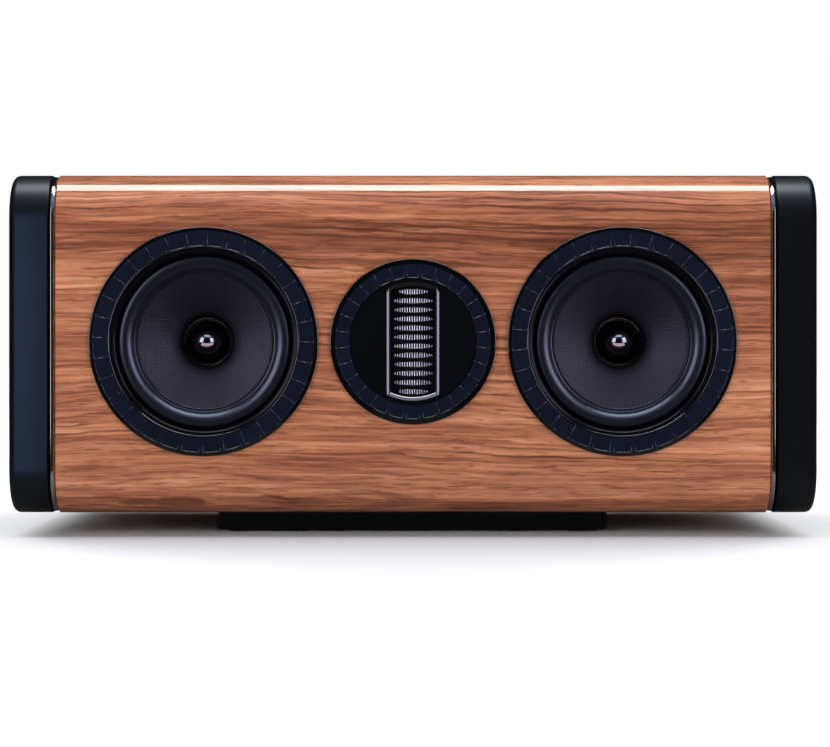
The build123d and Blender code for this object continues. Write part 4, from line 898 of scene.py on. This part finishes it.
# the room is dark, with a soft ceiling in front; the camera sees white
def makeWorld():
    world = bpy.data.worlds.new("studio")
    scene.world = world
    world.use_nodes = True
    tree = world.node_tree
    tree.nodes.clear()
    place = addNode(tree, "ShaderNodeTexCoord").outputs["Generated"]
    axes = addNode(tree, "ShaderNodeSeparateXYZ", {0: place}).outputs
    raised = remap(tree, axes["Z"], *stageLook["ceilingRise"], smooth=True)
    ahead = remap(tree, axes["Y"], *stageLook["ceilingFront"], smooth=True)
    above = calc(tree, "MULTIPLY", raised, ahead)
    colour = mixColour(tree, above, (*stageLook["room"], 1.0), (*stageLook["ceiling"], 1.0))
    seen = addNode(tree, "ShaderNodeLightPath").outputs["Is Camera Ray"]
    colour = mixColour(tree, seen, colour, (1.0, 1.0, 1.0, 1.0))
    light = addNode(tree, "ShaderNodeBackground", {"Color": colour})
    output = tree.nodes.new("ShaderNodeOutputWorld")
    tree.links.new(light.outputs[0], output.inputs["Surface"])


def bothSides(*parts):
    return [f"{side}{part}" for side in sides for part in parts]


# groups of pieces that a softbox can be kept to
lightGroups = {
    "drivers": bothSides("TrimRing", "SurroundOuter", "SurroundInner", "WovenCone", "VoiceCoil", "BulletPlug")
    + ["tweeterTrimRing", "tweeterFace", "pleatedRibbon"],
    "plugs": bothSides("BulletPlug", "VoiceCoil"),
    "surrounds": bothSides("SurroundOuter", "SurroundInner"),
    "bands": bothSides("BrightBand"),
    "leftCheek": ["leftCheek"],
    "rear": ["rearPort", "redClampWasher", "blackClampWasher"] + [nodes[name].name for name in (
        "terminal_plate", "terminal_screws", "post_studs", "red_post_cap", "black_post_cap")],
    "panels": [nodes[name].name for name in ("front_baffle", "top_panel")],
}
# softboxes: place, what they face, width and height, power, whether they only show in reflections or never do,
# and the groups that they reach if not everything
softboxes = {
    "leftStrip": dict(place=(-1.31, -1.093, 0.50), size=(1.16, 1.3), power=28, tint=(0.80, 0.82, 1.0), reflects="only",
                      reaches=("drivers",)),
    "rightStrip": dict(place=(1.31, -1.093, 0.50), size=(1.16, 1.3), power=28, tint=(0.82, 0.80, 1.0), reflects="only",
                       reaches=("drivers",)),
    "frontSky": dict(place=(0.0, -0.775, 1.17), size=(1.2, 0.5), power=5.5, tint=(0.84, 0.86, 1.0), reflects="only",
                     reaches=("drivers",)),
    "rollSky": dict(place=(0.0, -0.42, 1.1), size=(1.2, 0.4), power=12, tint=(0.62, 0.70, 1.0), reflects="only",
                    reaches=("surrounds",)),
    "floorGlow": dict(place=(0.0, -0.30, 0.03), size=(0.7, 0.12), power=0.8, tint=(1.0, 0.66, 0.72), reflects="only",
                      reaches=("plugs",)),
    "topStrip": dict(place=(0.0, -0.17, 1.25), aim=(0.0, -0.17, 0.0), size=(1.4, 0.36), power=20, reflects="only"),
    "topWash": dict(place=(0.0, -0.1, 1.6), aim=(0.0, -0.1, 0.0), size=(1.2, 0.6), power=7, reflects="never",
                    reaches=("panels",)),
    "blueWash": dict(place=(-0.615, -1.63, 0.11), size=(0.5, 0.36), power=6.5, tint=(0.42, 0.6, 1.0), reflects="only",
                     reaches=("leftCheek",)),
    "leftGlow": dict(place=(-1.1, -0.8, 0.25), size=(0.3, 1.0), power=1.0, reflects="only", reaches=("bands",)),
    "rightGlow": dict(place=(1.1, -0.8, 0.25), size=(0.3, 1.0), power=1.0, reflects="only", reaches=("bands",)),
    "rearShine": dict(place=(-0.9, 1.5, 1.0), size=(0.8, 0.8), power=9, reflects="only", reaches=("rear",)),
    "rearLeft": dict(place=(-1.5, 1.7, 0.9), size=(0.9, 0.9), power=27, reflects="never"),
    "rearRight": dict(place=(1.5, 1.7, 0.9), size=(0.9, 0.9), power=27, reflects="never"),
}
# broad lights without reflections: strength, then turn about x and z and apparent width in degrees
skies = {
    "overhead": dict(level=3.6, turn=(-26, 0), spread=105),
    "fillLeft": dict(level=1.6, turn=(82, -35), spread=35),
    "fillRight": dict(level=1.6, turn=(82, 35), spread=35),
}


def makeSoftbox(name, place, size, power, tint=(1.0, 1.0, 1.0), aim=None, reflects="also", reaches=()):
    lamp = bpy.data.lights.new(name, "AREA")
    lamp.shape = "RECTANGLE"
    lamp.size, lamp.size_y = size
    lamp.energy = power
    lamp.color = tint
    obj = bpy.data.objects.new(name, lamp)
    obj.location = place
    towards = Vector(aim or (0.0, frontY, tweeterCentre.z)) - Vector(place)
    obj.rotation_euler = towards.to_track_quat("-Z", "Y").to_euler()
    obj.visible_diffuse = reflects != "only"
    obj.visible_glossy = reflects != "never"
    if reaches:
        reached = bpy.data.collections.new(f"{name}Reach")
        for piece in (piece for key in reaches for piece in lightGroups[key]):
            reached.objects.link(bpy.data.objects[piece])
        obj.light_linking.receiver_collection = reached
    scene.collection.objects.link(obj)


def makeSky(name, level, turn, spread):
    lamp = bpy.data.lights.new(name, "SUN")
    lamp.energy = level
    lamp.angle = math.radians(spread)
    obj = bpy.data.objects.new(name, lamp)
    obj.rotation_euler = (math.radians(turn[0]), 0.0, math.radians(turn[1]))
    obj.visible_glossy = False
    scene.collection.objects.link(obj)


cameraView = dict(place=(0.0, -1.925, 0.125), lens=116.0, shift=(0.0025, -0.032), nearest=0.05)


def makeCamera():
    lens = bpy.data.cameras.new("camera")
    lens.lens = cameraView["lens"]
    lens.shift_x, lens.shift_y = cameraView["shift"]
    lens.clip_start = cameraView["nearest"]
    obj = bpy.data.objects.new("camera", lens)
    obj.location = cameraView["place"]
    obj.rotation_euler = (math.radians(90), 0.0, 0.0)
    scene.collection.objects.link(obj)
    scene.camera = obj


makeFloor()
makeWorld()
for name, values in softboxes.items():
    makeSoftbox(name, **values)
for name, values in skies.items():
    makeSky(name, **values)
makeCamera()
print("stage set")
